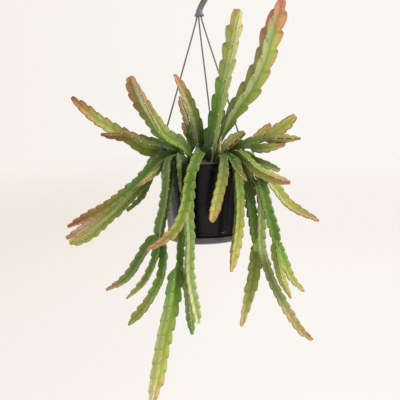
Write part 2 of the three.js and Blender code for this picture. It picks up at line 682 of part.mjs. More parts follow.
// Hook and hub in one moulding, with a socket for each strand
function hook() {
  const half = [HOOK_WIDTH / 2, HOOK_DEPTH / 2];
  const section = new THREE.Shape();
  section.moveTo(-half[1], -half[0] + HOOK_CHAMFER);
  section.lineTo(-half[1] + HOOK_CHAMFER, -half[0]);
  section.lineTo(half[1] - HOOK_CHAMFER, -half[0]);
  section.lineTo(half[1], -half[0] + HOOK_CHAMFER);
  section.lineTo(half[1], half[0] - HOOK_CHAMFER);
  section.lineTo(half[1] - HOOK_CHAMFER, half[0]);
  section.lineTo(-half[1] + HOOK_CHAMFER, half[0]);
  section.lineTo(-half[1], half[0] - HOOK_CHAMFER);
  section.closePath();

  const crookZ = HOOK_HEIGHT - CROOK_RADIUS + HOOK_WIDTH / 2;
  const points = [[HUB_X, HUB_BASE + 5], [HUB_X + 2.5, HUB_TOP + 3], [SHANK_X, crookZ - SHANK_DROP]];
  for (let angle = HOOK_ARC.from; angle <= HOOK_ARC.to; angle += HOOK_ARC.step) {
    const [x, z] = polar(CROOK_RADIUS, angle);
    points.push([x, crookZ + z]);
  }
  const path = new THREE.CatmullRomCurve3(points.map(([x, z]) => new THREE.Vector3(x, 0, z)));
  const crook = new THREE.ExtrudeGeometry(section, { steps: 28, bevelEnabled: false, extrudePath: path });
  const hub = turned([
    [0, HUB_BASE], [HUB_RADIUS - 0.6, HUB_BASE], [HUB_RADIUS, HUB_BASE + 0.8],
    [HUB_RADIUS - 0.4, HUB_BASE + 2.4], [HUB_RADIUS - 2.6, HUB_BASE + 5.5],
    [HUB_RADIUS - 3.4, HUB_TOP], [0, HUB_TOP],
  ], HUB_SEGMENTS);
  let solid = toSolid(crook).add(toSolid(hub.translate(HUB_X, 0, 0)));
  for (const place of Object.keys(SOCKET_ANGLES)) {
    solid = solid.subtract(toSolid(strandBody(place, STRAND_RADIUS + GAP + 0.1, 0)
      .translate(0, 0, GAP + 0.1)));
  }
  return toGeometry(solid);
}

// Everything stands in one group that puts the hook's bearing point at the origin
const group = new THREE.Group();
const plant = new THREE.Group();
plant.position.z = -HOOK_HEIGHT;
group.add(plant);

function addPiece(name, geometry, material) {
  const mesh = new THREE.Mesh(geometry, material);
  mesh.name = name;
  plant.add(mesh);
}

addPiece('pot', pot(), MATERIALS.pot);
addPiece('saucer', saucer(), MATERIALS.saucer);
addPiece('soil', soil(), MATERIALS.soil);
addPiece('hanger_hook', hook(), MATERIALS.hanger);
for (const place of Object.keys(EAR_ANGLES)) {
  addPiece(`hanger_strand_${place}`, strand(place), MATERIALS.hanger);
}
Object.entries(STEMS).forEach(([name, stem], i) => {
  addPiece(name, stemWithBranches(stem, 100 * i), MATERIALS[stem.tint]);
});

export default group;
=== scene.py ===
"""Looks of a hanging pot of Lepismium cruciforme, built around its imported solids."""
import math

import bmesh
import bpy
import numpy as np
from mathutils import Matrix, Vector, noise

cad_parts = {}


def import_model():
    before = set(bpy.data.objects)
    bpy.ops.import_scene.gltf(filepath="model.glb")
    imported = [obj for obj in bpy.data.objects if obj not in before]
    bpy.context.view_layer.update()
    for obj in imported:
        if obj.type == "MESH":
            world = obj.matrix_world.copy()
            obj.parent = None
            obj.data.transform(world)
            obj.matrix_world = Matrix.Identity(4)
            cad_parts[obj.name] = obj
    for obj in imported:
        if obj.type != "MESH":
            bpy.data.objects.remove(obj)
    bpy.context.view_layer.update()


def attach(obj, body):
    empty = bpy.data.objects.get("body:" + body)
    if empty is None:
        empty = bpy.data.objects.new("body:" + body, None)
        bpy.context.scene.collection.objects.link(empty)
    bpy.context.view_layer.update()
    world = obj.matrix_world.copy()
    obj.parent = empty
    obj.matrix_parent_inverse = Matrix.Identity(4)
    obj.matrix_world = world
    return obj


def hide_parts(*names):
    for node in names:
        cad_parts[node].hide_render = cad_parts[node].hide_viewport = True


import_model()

# Millimetres below are measured from the top of the pot's rim, on the pot's axis.
MM = 0.001
HOOK_HEIGHT = 304

# Colours

PALETTE = {
    # The next green is a painted shade, for the darkest sides in shadow
    "soot": (30, 42, 16),
    "deep": (52, 80, 24),
    "green": (88, 120, 42),
    "moss": (102, 128, 60),
    "sage": (128, 146, 78),
    "mist": (156, 168, 106),
    "fresh": (134, 152, 62),
    "spring": (122, 162, 60),
    "lime": (168, 172, 84),
    "gold": (196, 180, 102),
    "pale": (210, 204, 140),
    "olive": (130, 124, 56),
    "tan": (188, 142, 98),
    "peach": (206, 158, 122),
    "rust": (152, 84, 62),
    "rose": (192, 112, 92),
    "red": (196, 78, 62),
    "maroon": (110, 48, 36),
    "cream": (226, 190, 164),
    "wool": (236, 232, 214),
}


def linear(rgb):
    c = np.array(rgb, float) / 255
    return np.where(c <= 0.04045, c / 12.92, ((c + 0.055) / 1.055) ** 2.4)


def colour(name):
    return linear(PALETTE[name])


def gradient(words, t):
    """Colours at places t, from 0 to 1, between evenly spaced palette names."""
    stops = np.array([colour(w) for w in words.split()])
    if len(stops) == 1:
        stops = np.repeat(stops, 2, axis=0)
    f = np.clip(t, 0, 1) * (len(stops) - 1)
    i = np.minimum(f.astype(int), len(stops) - 2)
    w = (f - i)[:, None]
    return stops[i] * (1 - w) + stops[i + 1] * w


# Stems: the numbers that all of them share

# How far apart the rings of vertices are
RING = 1.15
# How long a stem or a branch stays round and bare from its root, and its wings take to grow out
BARE, ROOT_FADE = 15, 40
BRANCH_BARE, BRANCH_FADE = 2, 12
# A stalk starts in the soil and leaves it upright
ROOT_Z, STALK_Z = -19, -4
# Radius of the round stalk, at least and at most, and as a share of the margins' radius
CORE_MIN, CORE_MAX, CORE_SHARE = 2.6, 4, 0.45
# Radius of the valleys between wings as a share of the margins' radius
VALLEY = 0.32
# Depth of a notch as a share of a lobe's length, and at most as a share of the margins' radius
SCALLOP, SCALLOP_MAX = 0.15, 0.3
# Where a lobe's crest lies along it, and how sharply it rises and falls
CREST_PHASE, RISE, FALL = 0.8, 1.8, 2.8
# How far a margin sways aside, and how much lobes differ
SWAY, UNEVEN = 0.6, 0.16
# How many lobes a tip tapers over and the share it ends at, and how far its apex stands out
TIP, APEX = (3.5, 0.25), 0.085

# Each stem repeats the numbers of its solid. Reach is the radius of its margins, lobe the length
# of a lobe, turn and twist are in degrees, phase shifts the lobes of each wing along the stem,
# root is where it stands in the soil, and route is what it passes through.
# Colours run from root to tip. Three faces lie from wing 0 round to wing 1, to wing 2 and back;
# three edges are the margins of those wings. One row of colours alone serves all three, and of
# two rows the middle one is left out and plain green. Flanks are the front wing's own two sides.
# The rows hold the stems' own greens, blushes and tans, and also painted light and shade: sides turned
# from the key light darker, sides turned to it paler
STEMS = {
    "tall_centre": dict(
        reach=16, lobe=28, turn=8, phase=(0, 0, 0.45), fade=22, tip=(1.2, 0.6), tint="leaf",
        root=(12, -41), face=("sage mist mist pale", "deep green spring lime gold"),
        edge=("green fresh lime gold", "moss lime gold peach", "deep green fresh tan"),
        flank=("deep green spring lime gold", "moss sage mist mist pale"),
        route=[(12, -41, 14), (15, -42, 35), (31, -46, 103), (44, -50, 158), (61, -54, 236)]),
    "tall_right": dict(
        reach=22.5, lobe=32, turn=-16, twist=-12, phase=(-0.07, 0.26, -0.13), sway=(-2.6, 0.6, 0.6),
        fade=150, tip=(1.6, 0.4), tint="leaf", root=(19, -17),
        face=("green green fresh lime rose", "deep green fresh olive rose"),
        edge=("deep green tan rose", "green fresh tan rose red", "deep green rust rose red"),
        flank=("deep olive rust rose red", "moss sage mist mist mist rose"),
        route=[(22, -19, 14), (28, -24, 33), (39, -30, 58), (52, -34, 82), (75, -35, 113),
            (99, -35, 160), (113, -33, 207), (131, -28, 254)]),
    "upright_left": dict(
        reach=12.5, lobe=17, turn=-22, twist=-15, fade=20, tip=(3, 0.3), tint="young", root=(-2, -24),
        face=("deep green fresh olive tan", "green moss mist tan"),
        edge=("green lime gold rust", "deep green olive rust", "olive tan rust rust"),
        flank=("", "green moss mist tan"),
        route=[(-3, -24, 10), (-4, -24, 27), (-7, -25, 53), (-16, -28, 81), (-27, -31, 109),
            (-42, -33, 140)]),
    "upright_small": dict(
        reach=8.5, lobe=15, turn=20, tip=(2, 0.4), tint="young", root=(-21, 7),
        face=("olive gold pale cream", "olive gold pale cream"), edge="olive tan rust tan",
        route=[(-22, 6, 15), (-20, 6, 35), (-21, 6, 53), (-26, 6, 76), (-32, 6, 93), (-35, 6, 107)],
        branches=[dict(
            reach=6, lobe=12, turn=40, tip=(1.5, 0.4), face="lime pale pale cream", edge="gold gold tan",
            route=[(-20, 6, 32), (-24, 4, 42), (-28, 3, 53), (-32, 2, 64)]), dict(
            reach=9.5, lobe=13, turn=10, tip=(1.5, 0.3), face="deep green green moss",
            edge="deep green olive tan",
            route=[(-21, 5, 15), (-16, 2, 25), (-16, 0, 37), (-19, -2, 48), (-16, -4, 63)])]),
    "left_high": dict(
        reach=16.5, lobe=17, turn=-6, twist=82, fade=60, tip=(1.5, 0.55), tint="leaf", root=(-14, -31),
        face=("green green fresh olive tan", "deep green green olive tan"),
        edge=("deep olive rust maroon", "green moss tan rust", "deep green olive rust tan"),
        flank=("green moss fresh mist tan", "green spring fresh tan tan"),
        route=[(-32, -46, 26), (-60, -50, 44), (-78, -51, 71), (-95, -50, 100), (-111, -48, 137)]),
    "left_top": dict(
        reach=13.6, lobe=17, turn=-38, tip=(2.5, 0.3), tint="young", root=(-30, 20),
        face=("green spring fresh lime rust", "green spring spring lime rust"),
        edge=("green spring lime peach rust", "green olive rust maroon", "deep green olive rust maroon"),
        route=[(-58, 30, 22), (-89, 30, 30), (-118, 30, 38), (-149, 23, 54), (-178, 14, 74),
            (-203, 8, 97), (-214, 6, 109)]),
    "left_level": dict(
        reach=19, lobe=17, turn=20, fade=60, tip=(6, 0.2), tint="leaf", root=(-34, -4),
        face=("green moss fresh olive tan", "green green fresh olive rust"),
        edge=("deep olive rust maroon", "green moss olive tan rust", "green moss fresh olive rust"),
        flank=("green moss fresh olive tan", "green moss fresh tan rust"),
        route=[(-52, 3, 15), (-72, 5, 21), (-93, 3, 26), (-127, -2, 45), (-147, -5, 46),
            (-165, -8, 48)]),
    "left_arch": dict(
        reach=11, lobe=15, turn=-30, twist=-25, tip=(3, 0.3), tint="leaf", root=(-33, -24),
        face=("deep green moss olive rust", "deep green green lime"),
        edge=("green fresh fresh tan", "deep green olive rust tan", "green moss sage gold tan"),
        route=[(-43, -37, 12), (-61, -38, 9), (-80, -40, -7), (-116, -42, -40), (-154, -43, -67),
            (-191, -44, -86), (-220, -44, -99)],
        branches=[dict(
            reach=8, lobe=13, turn=0, face=("moss lime gold tan", "moss lime pale tan"),
            edge=("moss lime peach rose", "olive olive tan rust"),
            route=[(-63, -40, 3), (-74, -49, -12), (-96, -56, -29), (-105, -58, -35)])]),
    "left_low": dict(
        reach=14, lobe=16, turn=0, fade=65, tip=(2, 0.5), tint="leaf", root=(-50, -7),
        face=("green moss fresh gold", "green green fresh lime"),
        edge=("moss lime pale tan", "green sage tan tan", "fresh lime lime pale"),
        route=[(-59, -7, 13), (-71, -5, 12), (-81, -3, 0), (-92, -3, -21), (-128, -8, -61),
            (-163, -12, -92), (-198, -12, -121), (-224, -12, -131)],
        branches=[dict(
            reach=11.5, lobe=13, turn=-40, tip=(5, 0.4), face="gold cream cream tan",
            edge="tan peach rose rose",
            route=[(-150, -10, -81), (-166, -4, -84), (-183, -1, -95), (-199, 0, -107), (-216, 0, -117),
                (-231, 0, -125)])]),
    "left_small": dict(
        reach=7.6, lobe=14, turn=60, tip=(4, 0.5), tint="old", root=(-50, 12),
        face="green moss moss sage", edge="moss sage sage",
        route=[(-59, 15, 9), (-72, 19, 5), (-90, 24, -31), (-107, 27, -62), (-131, 28, -84)]),
    "hang_left": dict(
        reach=12.2, lobe=15, turn=-15, tip=(1.5, 0.5), tint="old", root=(-45, -44),
        face=("green moss moss moss", "green deep green green"),
        edge=("moss sage sage mist", "moss mist mist mist", "green lime moss sage"),
        route=[(-46, -52, 10), (-52, -61, 4), (-54, -64, -12), (-56, -62, -34), (-62, -60, -70),
            (-69, -60, -96), (-73, -60, -122)],
        branches=[dict(
            reach=11, lobe=15, turn=-30, face=("green moss moss sage tan", "green"),
            edge=("moss sage sage mist tan", "green olive tan rust", "green lime tan"),
            route=[(-73, -60, -112), (-86, -60, -125), (-103, -60, -150), (-120, -60, -176),
                (-134, -60, -188), (-159, -60, -201)]), dict(
            reach=8.5, lobe=14, turn=-30, face=("green green moss lime", "green"),
            edge=("moss sage lime gold", "deep green tan rust", "green lime tan"),
            route=[(-73, -62, -114), (-76, -67, -137), (-81, -71, -155), (-98, -77, -186),
                (-125, -80, -211)]), dict(
            reach=10.6, lobe=17, turn=-30, tip=(1.5, 0.2),
            face=("deep green spring lime lime", "green green spring lime"),
            edge=("moss spring lime lime tan", "deep green lime lime tan", "green spring lime lime tan"),
            route=[(-71, -59, -112), (-66, -52, -142), (-67, -51, -164), (-71, -50, -184),
                (-98, -48, -232), (-127, -48, -263)])]),
    "front_arch": dict(
        reach=11, lobe=16, turn=40, tint="leaf", root=(-4, -41),
        face=("green green moss lime tan", "deep green green fresh tan"),
        edge=("green moss lime gold tan", "moss moss fresh gold tan", "green moss fresh gold tan"),
        route=[(-4, -56, 15), (-5, -72, 16), (-10, -92, 9), (-17, -108, -6), (-23, -112, -28),
            (-29, -112, -60), (-42, -113, -92), (-64, -114, -113), (-88, -115, -127)]),
    "front_thin": dict(
        reach=5, lobe=14, turn=20, tint="old", root=(-34, -49), face="green green sage sage",
        edge=("moss moss deep sage", "sage mist sage", "deep deep sage mist"),
        route=[(-36, -58, 11), (-38, -70, 14), (-38, -83, 4), (-37, -91, -12), (-36, -91, -42)]),
    "hang_front": dict(
        reach=9, lobe=15, turn=30, tip=(1.5, 0.5), tint="old", root=(-24, -51),
        face=("deep green green", "deep", "deep deep green green"),
        edge=("deep fresh lime sage", "green moss green", "deep deep deep soot"),
        route=[(-27, -61, 7), (-30, -70, 7), (-31, -78, -8), (-31, -77, -41), (-33, -77, -72),
            (-38, -80, -111), (-41, -87, -166)],
        branches=[dict(
            reach=16.5, lobe=22, turn=8, fade=26, tip=(2.5, 0.35),
            face=("green spring lime lime pale", "green spring fresh lime peach"),
            edge=("moss lime lime gold peach", "green moss lime gold tan",
                "green fresh lime lime peach"),
            flank=("green spring fresh lime pale", "green spring fresh lime pale"),
            route=[(-41, -87, -153), (-48, -89, -181), (-56, -93, -224), (-68, -96, -271),
                (-78, -98, -324), (-91, -100, -378)]), dict(
            reach=9, lobe=13, turn=0, tip=(2, 0.4), face=("sage mist sage moss", "moss sage moss"),
            edge=("moss sage moss", "moss", "moss mist sage"),
            route=[(-39, -85, -158), (-32, -83, -178), (-29, -79, -200), (-26, -77, -240),
                (-23, -76, -272)])]),
    "hang_middle": dict(
        reach=11.3, lobe=16, turn=18, fade=62, tip=(2, 0.45), tint="old", root=(-13, -57),
        face=("moss moss sage mist", "moss", "green moss sage mist"),
        edge=("moss sage mist pale", "moss sage mist pale tan", "moss sage mist pale"),
        flank=("moss sage mist pale", "moss moss sage mist"),
        route=[(-16, -68, 7), (-16, -81, 3), (-20, -88, -12), (-23, -89, -40), (-25, -91, -78),
            (-24, -97, -118), (-26, -99, -168), (-19, -100, -220), (-13, -100, -247)]),
    "front_short": dict(
        reach=11, lobe=13, turn=55, fade=60, tip=(1.5, 0.5), tint="leaf", root=(22, -55),
        face=("green moss", "green moss", "moss moss lime gold"),
        edge=("moss moss lime tan", "green moss", "green moss tan rust"),
        route=[(28, -66, 10), (32, -80, 4), (31, -88, -12), (28, -90, -28), (20, -92, -58),
            (12, -94, -89)]),
    "front_curl": dict(
        reach=7.5, lobe=13, turn=20, tip=(2.5, 0.3), tint="young", root=(32, -47),
        face=("deep green green olive", "deep deep green olive"),
        edge=("deep green sage tan", "green tan", "soot green olive tan"),
        route=[(36, -60, 12), (44, -77, 6), (52, -91, -10), (60, -96, -20), (66, -98, -27)]),
    "hang_right": dict(
        reach=11.7, lobe=16, turn=22, tip=(2.5, 0.3), tint="leaf", root=(42, -40),
        face=("sage sage mist gold", "green moss fresh lime gold"),
        edge=("green sage lime tan", "green olive lime tan", "green green fresh tan"),
        route=[(46, -52, 8), (49, -62, 7), (52, -71, -8), (54, -72, -35), (55, -71, -67),
            (52, -72, -105), (41, -75, -172)]),
    "hang_right_back": dict(
        reach=11.5, lobe=16, turn=60, bare=40, tip=(1.5, 0.5), tint="old", root=(53, -22),
        face=("green", "green green moss green"), edge=("moss moss deep moss", "deep green deep green"),
        route=[(58, -31, 9), (62, -37, 8), (68, -40, 2), (72, -36, -14), (75, -26, -38), (77, -17, -65),
            (82, -14, -102), (86, -14, -140)],
        branches=[dict(
            reach=13.8, lobe=17, turn=60, fade=22, tip=(5, 0.3),
            face=("lime lime lime pale", "spring lime lime pale"),
            edge=("lime lime mist pale tan", "lime gold tan rust", "lime lime mist pale tan"),
            route=[(87, -14, -130), (85, -17, -149), (81, -24, -184), (72, -32, -219), (58, -38, -271)])]),
    "trail_right": dict(
        reach=10.4, lobe=16, turn=37, bare=75, tip=(3, 0.35), tint="old", root=(50, -31),
        face=("green moss", "green moss", "moss sage mist mist tan"),
        edge=("mist sage mist mist tan", "green moss", "green moss lime gold tan"),
        route=[(55, -43, 5), (62, -50, 1), (73, -50, -20), (85, -38, -38), (92, -37, -64),
            (92, -36, -100), (92, -34, -140), (103, -31, -183), (126, -26, -235), (157, -22, -285),
            (177, -20, -303)]),
    "forked_right": dict(
        reach=11.5, lobe=16, turn=45, fade=70, tip=(1.5, 0.5), tint="old", root=(57, -4),
        face=("green", "green moss green green"), edge=("sage moss moss olive", "moss sage mist sage"),
        route=[(70, -4, 9), (81, -8, 1), (89, -39, -22), (92, -60, -34), (97, -64, -58), (103, -65, -84),
            (110, -65, -111), (115, -62, -133)],
        branches=[dict(
            reach=9.8, lobe=14, turn=30, face=("green", "green spring lime gold"),
            edge=("olive fresh tan tan", "green lime tan", "lime lime tan tan"),
            route=[(115, -63, -124), (119, -56, -140), (126, -49, -158), (139, -46, -191),
                (160, -45, -214)]), dict(
            reach=10.5, lobe=14, turn=0, face=("fresh fresh lime gold", "green fresh lime gold"),
            edge=("green green gold rust", "green lime tan rust"),
            route=[(113, -64, -124), (113, -63, -141), (116, -63, -160), (122, -65, -187),
                (136, -67, -219)])]),
    "right_low": dict(
        reach=12, lobe=15, turn=30, tint="leaf", root=(50, 13),
        face=("green", "green spring lime lime tan"),
        edge=("olive lime pale tan rust", "green lime gold rose rust"),
        route=[(62, 16, 9), (75, 16, 5), (90, 14, -10), (116, 10, -43), (145, 6, -79), (192, 0, -105)]),
    "right_level": dict(
        reach=11.5, lobe=13, turn=-5, fade=60, tip=(2.5, 0.4), tint="leaf", root=(38, -29),
        face=("green sage lime lime tan", "green spring fresh lime tan"),
        edge=("lime sage olive rust", "green green gold tan", "olive olive moss tan"),
        route=[(45, -40, 11), (55, -51, 15), (70, -63, 3), (86, -68, -13), (122, -68, -30),
            (136, -68, -33)]),
    "right_top": dict(
        reach=8.7, lobe=14, turn=60, bare=44, fade=48, tip=(2, 0.5), tint="leaf", root=(40, -5),
        face=("green moss", "moss sage sage mist"),
        edge=("moss mist", "moss mist", "moss gold sage sage"),
        route=[(50, -13, 14), (61, -23, 14), (69, -31, 9), (87, -33, 0), (104, -31, -7),
            (124, -31, -16)]),
    "right_high": dict(
        reach=10.5, lobe=15, turn=60, fade=70, tip=(1.5, 0.5), tint="young", root=(33, -18),
        face=("green", "green moss sage sage"), edge=("green moss moss fresh", "green lime sage fresh"),
        route=[(43, -23, 18), (58, -31, 25), (75, -36, 30), (102, -37, 38)],
        branches=[dict(
            reach=13, lobe=13, turn=60, tip=(2, 0.5),
            face=("green lime", "green lime", "sage lime lime gold"),
            edge=("olive tan rose rust", "olive rose rust", "lime tan rose rust"),
            route=[(96, -37, 34), (115, -38, 45), (134, -38, 58), (149, -39, 71)]), dict(
            reach=11, lobe=12, turn=-4, face=("mist pale lime gold", "sage lime", "sage lime"),
            edge=("olive rust maroon rust", "olive olive rust maroon", "olive rust maroon"),
            route=[(94, -37, 34), (105, -41, 36), (114, -46, 36), (130, -50, 35), (155, -52, 35)]), dict(
            reach=10.5, lobe=12, turn=60, tip=(3.5, 0.3),
            face=("sage lime", "sage lime", "sage sage lime tan"),
            edge=("olive olive tan", "olive tan", "fresh fresh olive tan"),
            route=[(74, -35, 24), (92, -44, 21), (108, -48, 22), (131, -50, 26)]), dict(
            reach=9.5, lobe=13, turn=60, tip=(2, 0.5),
            face=("green lime", "green lime", "lime lime gold tan"),
            edge=("olive rust rust", "olive rust", "olive tan rust rose"),
            route=[(75, -34, 26), (84, -28, 33), (93, -24, 42), (102, -22, 50), (111, -20, 58)])]),
    "front_stub": dict(
        reach=11.8, lobe=12, turn=14, tip=(2, 0.5), tint="young", root=(23, -33),
        face=("green lime lime gold", "green lime", "green lime pale lime"),
        edge=("green olive rust maroon", "green lime rose rust", "green lime rust rose"),
        route=[(28, -39, 10), (36, -42, 21), (54, -46, 37), (67, -49, 46)],
        branches=[dict(
            reach=4, lobe=10, turn=0, face="lime pale cream", edge="gold pale cream",
            route=[(28, -40, 11), (27, -44, 20), (28, -46, 30), (30, -47, 41)])]),
    "back_1": dict(
        reach=9, lobe=16, turn=60, tint="old", root=(46, 28), face="deep green sage green",
        edge="green sage sage olive",
        route=[(56, 37, 9), (64, 44, 6), (70, 52, -10), (71, 57, -40), (66, 62, -80), (60, 66, -112)]),
    "back_2": dict(
        reach=10, lobe=17, turn=200, tint="leaf", root=(33, 39), face="deep green green fresh lime",
        edge="green sage olive tan rust",
        route=[(39, 52, 9), (45, 68, 7), (50, 90, -14), (50, 104, -60), (44, 112, -104)]),
    "back_3": dict(
        reach=9.5, lobe=15, turn=180, tint="leaf", root=(6, 38), face="deep green green fresh lime tan",
        edge="green sage sage olive tan rose",
        route=[(5, 52, 9), (5, 72, 11), (4, 100, -2), (2, 128, -36), (0, 142, -76), (-4, 148, -110)]),
    "back_4": dict(
        reach=8.5, lobe=15, turn=190, tint="old", root=(-9, 52), face="deep green sage green fresh",
        edge="green sage mist sage olive",
        route=[(-12, 62, 8), (-16, 74, 5), (-20, 83, -10), (-24, 86, -50), (-28, 86, -90),
            (-26, 88, -120)]),
    "back_5": dict(
        reach=10, lobe=17, turn=180, tint="leaf", root=(-30, 38), face="deep green green fresh lime",
        edge="green green olive tan rust",
        route=[(-36, 50, 9), (-42, 64, 6), (-48, 80, -10), (-51, 100, -46), (-52, 112, -80),
            (-50, 118, -112)]),
    "back_6": dict(
        reach=8.5, lobe=15, turn=120, tint="old", root=(-44, 34), face="deep green sage green",
        edge="green sage sage olive",
        route=[(-52, 46, 9), (-62, 49, 5), (-67, 55, -12), (-66, 60, -50), (-61, 64, -88),
            (-55, 66, -118)]),
    "back_7": dict(
        reach=9, lobe=16, turn=140, tint="leaf", root=(6, 8), face="deep green fresh lime",
        edge="green olive tan rose",
        route=[(9, 12, 14), (13, 16, 40), (20, 18, 68), (27, 18, 96)]),
}


def smooth(t):
    u = np.clip(t, 0, 1)
    return u * u * (3 - 2 * u)


def chance(a, b):
    """A repeatable value from 0 to 1 for a pair of counts."""
    v = np.sin(a * 12.9898 + np.asarray(b) * 78.233) * 43758.5453
    return v - np.floor(v)


def unit(v):
    return v / np.linalg.norm(v, axis=-1, keepdims=True)


def place(points):
    """Millimetres from the rim to metres in the part's frame."""
    return (np.asarray(points, float) - (0, 0, HOOK_HEIGHT)) * MM


# How finely a route is measured, and the step that its direction is taken over
PATH_SAMPLES, NUDGE = 401, 1e-4


class Path:
    """A smooth line through a route's points, with a side vector that doesn't twist."""

    def __init__(self, points, step):
        knots = np.array(points, float)
        self.ext = np.vstack([2 * knots[0] - knots[1], knots, 2 * knots[-1] - knots[-2]])
        self.t = np.linspace(0, 1, PATH_SAMPLES)
        dense = self.curve(self.t)
        self.run = np.concatenate([[0], np.cumsum(np.linalg.norm(np.diff(dense, axis=0), axis=1))])
        self.length = self.run[-1]
        count = int(np.ceil(self.length / step))
        self.s = np.linspace(0, self.length, count + 1)
        self.at, self.along = self.sample(self.s)
        side = np.array([1, 0.001, 0])
        sides = []
        for a in self.along:
            side = side - a * side.dot(a)
            side /= np.linalg.norm(side)
            sides.append(side)
        self.side = np.array(sides)
        self.across = np.cross(self.along, self.side)

    def curve(self, t):
        last = len(self.ext) - 4
        f = np.clip(t, 0, 1) * (last + 1)
        i = np.minimum(f.astype(int), last)
        w = (f - i)[:, None]
        p0, p1, p2, p3 = (self.ext[i + k] for k in range(4))
        d0, d1, d2 = (np.sqrt(np.linalg.norm(b - a, axis=1))[:, None]
                      for a, b in ((p0, p1), (p1, p2), (p2, p3)))
        t1 = ((p1 - p0) / d0 - (p2 - p0) / (d0 + d1) + (p2 - p1) / d1) * d1
        t2 = ((p2 - p1) / d1 - (p3 - p1) / (d1 + d2) + (p3 - p2) / d2) * d1
        return (p1 + w * (t1 + w * (3 * (p2 - p1) - 2 * t1 - t2 + w * (2 * (p1 - p2) + t1 + t2))))

    def sample(self, s):
        t = np.interp(s, self.run, self.t)
        ahead, behind = self.curve(np.minimum(t + NUDGE, 1)), self.curve(np.maximum(t - NUDGE, 0))
        return self.curve(t), unit(ahead - behind)


class Shape:
    """Radii of a stem's margins and valleys along its length."""

    def __init__(self, stem, path, seed):
        self.stem, self.seed, self.length = stem, seed, path.length
        rooted = "root" in stem
        self.bare = stem.get("bare", BARE) if rooted else BRANCH_BARE
        self.fade = stem.get("fade", ROOT_FADE if rooted else BRANCH_FADE)
        self.shift = stem.get("phase", (0, 0, 0))
        self.lobes = max(2, math.floor((self.length - self.bare) / stem["lobe"] + 0.5))
        self.pitch = (self.length - self.bare) / self.lobes
        self.core = min(max(stem["reach"] * CORE_SHARE, CORE_MIN), CORE_MAX)
        self.tip_lobes, self.tip_end = stem.get("tip", TIP)

    def taper(self, s):
        t = np.clip((self.length - s) / (self.tip_lobes * self.pitch), 0, 1)
        return 1 - (1 - self.tip_end) * (1 - t) ** 2

    def grown(self, s):
        """From 0, where a stem is still round, to 1, where its wings are full."""
        return smooth((s - self.bare) / self.fade)

    def reach(self, s):
        return (self.core + (self.stem["reach"] - self.core) * self.grown(s)) * self.taper(s)

    def valley(self, s):
        full = VALLEY * self.stem["reach"]
        return (self.core + (full - self.core) * self.grown(s)) * self.taper(s)

    def phase(self, s, w):
        turns = (s - self.bare) / self.pitch - w / 3 - self.shift[w]
        k = np.floor(turns)
        return k, turns - k

    def margin(self, s, w):
        """Radius of wing w: each lobe widens to a crest and drops into the next notch."""
        k, p = self.phase(s, w)
        grown, reach = self.grown(s), self.reach(s)
        depth = np.minimum(SCALLOP * self.stem["lobe"], SCALLOP_MAX * reach) * grown
        notch = reach * (1 - UNEVEN / 2 * grown) - depth
        crest = reach * (1 - UNEVEN * chance(self.seed + w, k) * grown)
        rise = 1 - (1 - np.minimum(p / CREST_PHASE, 1)) ** RISE
        fall = 1 - np.clip((p - CREST_PHASE) / (1 - CREST_PHASE), 0, 1) ** FALL
        return np.maximum(notch + (crest - notch) * rise * fall, self.valley(s))


# Places round half a wing, from the margin (1) to the valley (0)
HALF = 6
NEAR_EDGE = np.array([1, 0.93, 0.8, 0.58, 0.34, 0.13, 0])
# A margin's rounding, then a curve from it to the valley: its places and how its ends pull it
EDGE_IN, EDGE_OUT = 0.3, 0.68
CURVE_PLACES = np.array([0, 0.3, 0.62, 0.86, 1])
EDGE_PULL, VALLEY_PULL, VALLEY_WAY = np.array([-0.34, 0.03]), 0.3, np.array([0.866, -0.5])
# Wings take their outline this much sooner than their full reach
OUTLINE_SOON = 2.2
# The rings that close a tip, as shares of a quarter turn, and how blunt they make it
CAP, CAP_ROUND = (0.3, 0.55, 0.76, 0.92), 0.8
# Creases across a wing: how far they slant, how wide and how deep they are, in shares of a lobe
CREASE_SLANT, CREASE_RUN, CREASE_DEPTH = 0.4, 0.09, 0.22
# How much the middle of a lobe swells, and where between margin and valley
SWELL, SWELL_PLACE = 0.12, np.array([0, 0.5, 1, 1, 0.6, 0.2, 0])


def half_wing(margin, valley, thick, phase, grown, core):
    """Outline of half a wing for each ring: distances along the wing's axis and off it."""
    n = len(margin)
    soft = np.minimum(thick, 0.45 * margin)
    x = np.zeros((n, HALF + 1))
    y = np.zeros((n, HALF + 1))
    x[:, 0] = margin
    x[:, 1], y[:, 1] = margin - EDGE_IN * soft, EDGE_OUT * soft
    p2 = np.stack([margin - soft, soft], axis=1)
    p6 = np.stack([valley * 0.5, valley * math.sin(math.pi / 3)], axis=1)
    span = np.linalg.norm(p6 - p2, axis=1)[:, None]
    c1 = p2 + span * EDGE_PULL
    c2 = p6 + VALLEY_PULL * span * VALLEY_WAY
    for j, t in enumerate(CURVE_PLACES):
        b = ((1 - t) ** 3 * p2 + 3 * t * (1 - t) ** 2 * c1 + 3 * t * t * (1 - t) * c2 + t ** 3 * p6)
        x[:, 2 + j], y[:, 2 + j] = b[:, 0], b[:, 1]
    # A crease runs in from each notch, slanting towards the base
    slanted = (phase[:, None] + CREASE_SLANT * (1 - NEAR_EDGE)) % 1
    away = np.minimum(slanted, 1 - slanted)
    crease = np.exp(-(away / CREASE_RUN) ** 2) * grown[:, None]
    y *= 1 - CREASE_DEPTH * crease * NEAR_EDGE * (NEAR_EDGE < 1)
    swell = np.sin(math.pi * phase) ** 2 * grown
    y *= 1 + SWELL * swell[:, None] * SWELL_PLACE
    angle = np.radians(np.arange(HALF + 1) * 60 / HALF)
    round_x, round_y = core[:, None] * np.cos(angle), core[:, None] * np.sin(angle)
    g = smooth(grown * OUTLINE_SOON)[:, None]
    return round_x + (x - round_x) * g, round_y + (y - round_y) * g


def icosphere():
    bm = bmesh.new()
    bmesh.ops.create_icosphere(bm, subdivisions=1, radius=1)
    points = np.array([v.co for v in bm.verts])
    faces = [[v.index for v in f.verts] for f in bm.faces]
    bm.free()
    return points, np.array(faces)


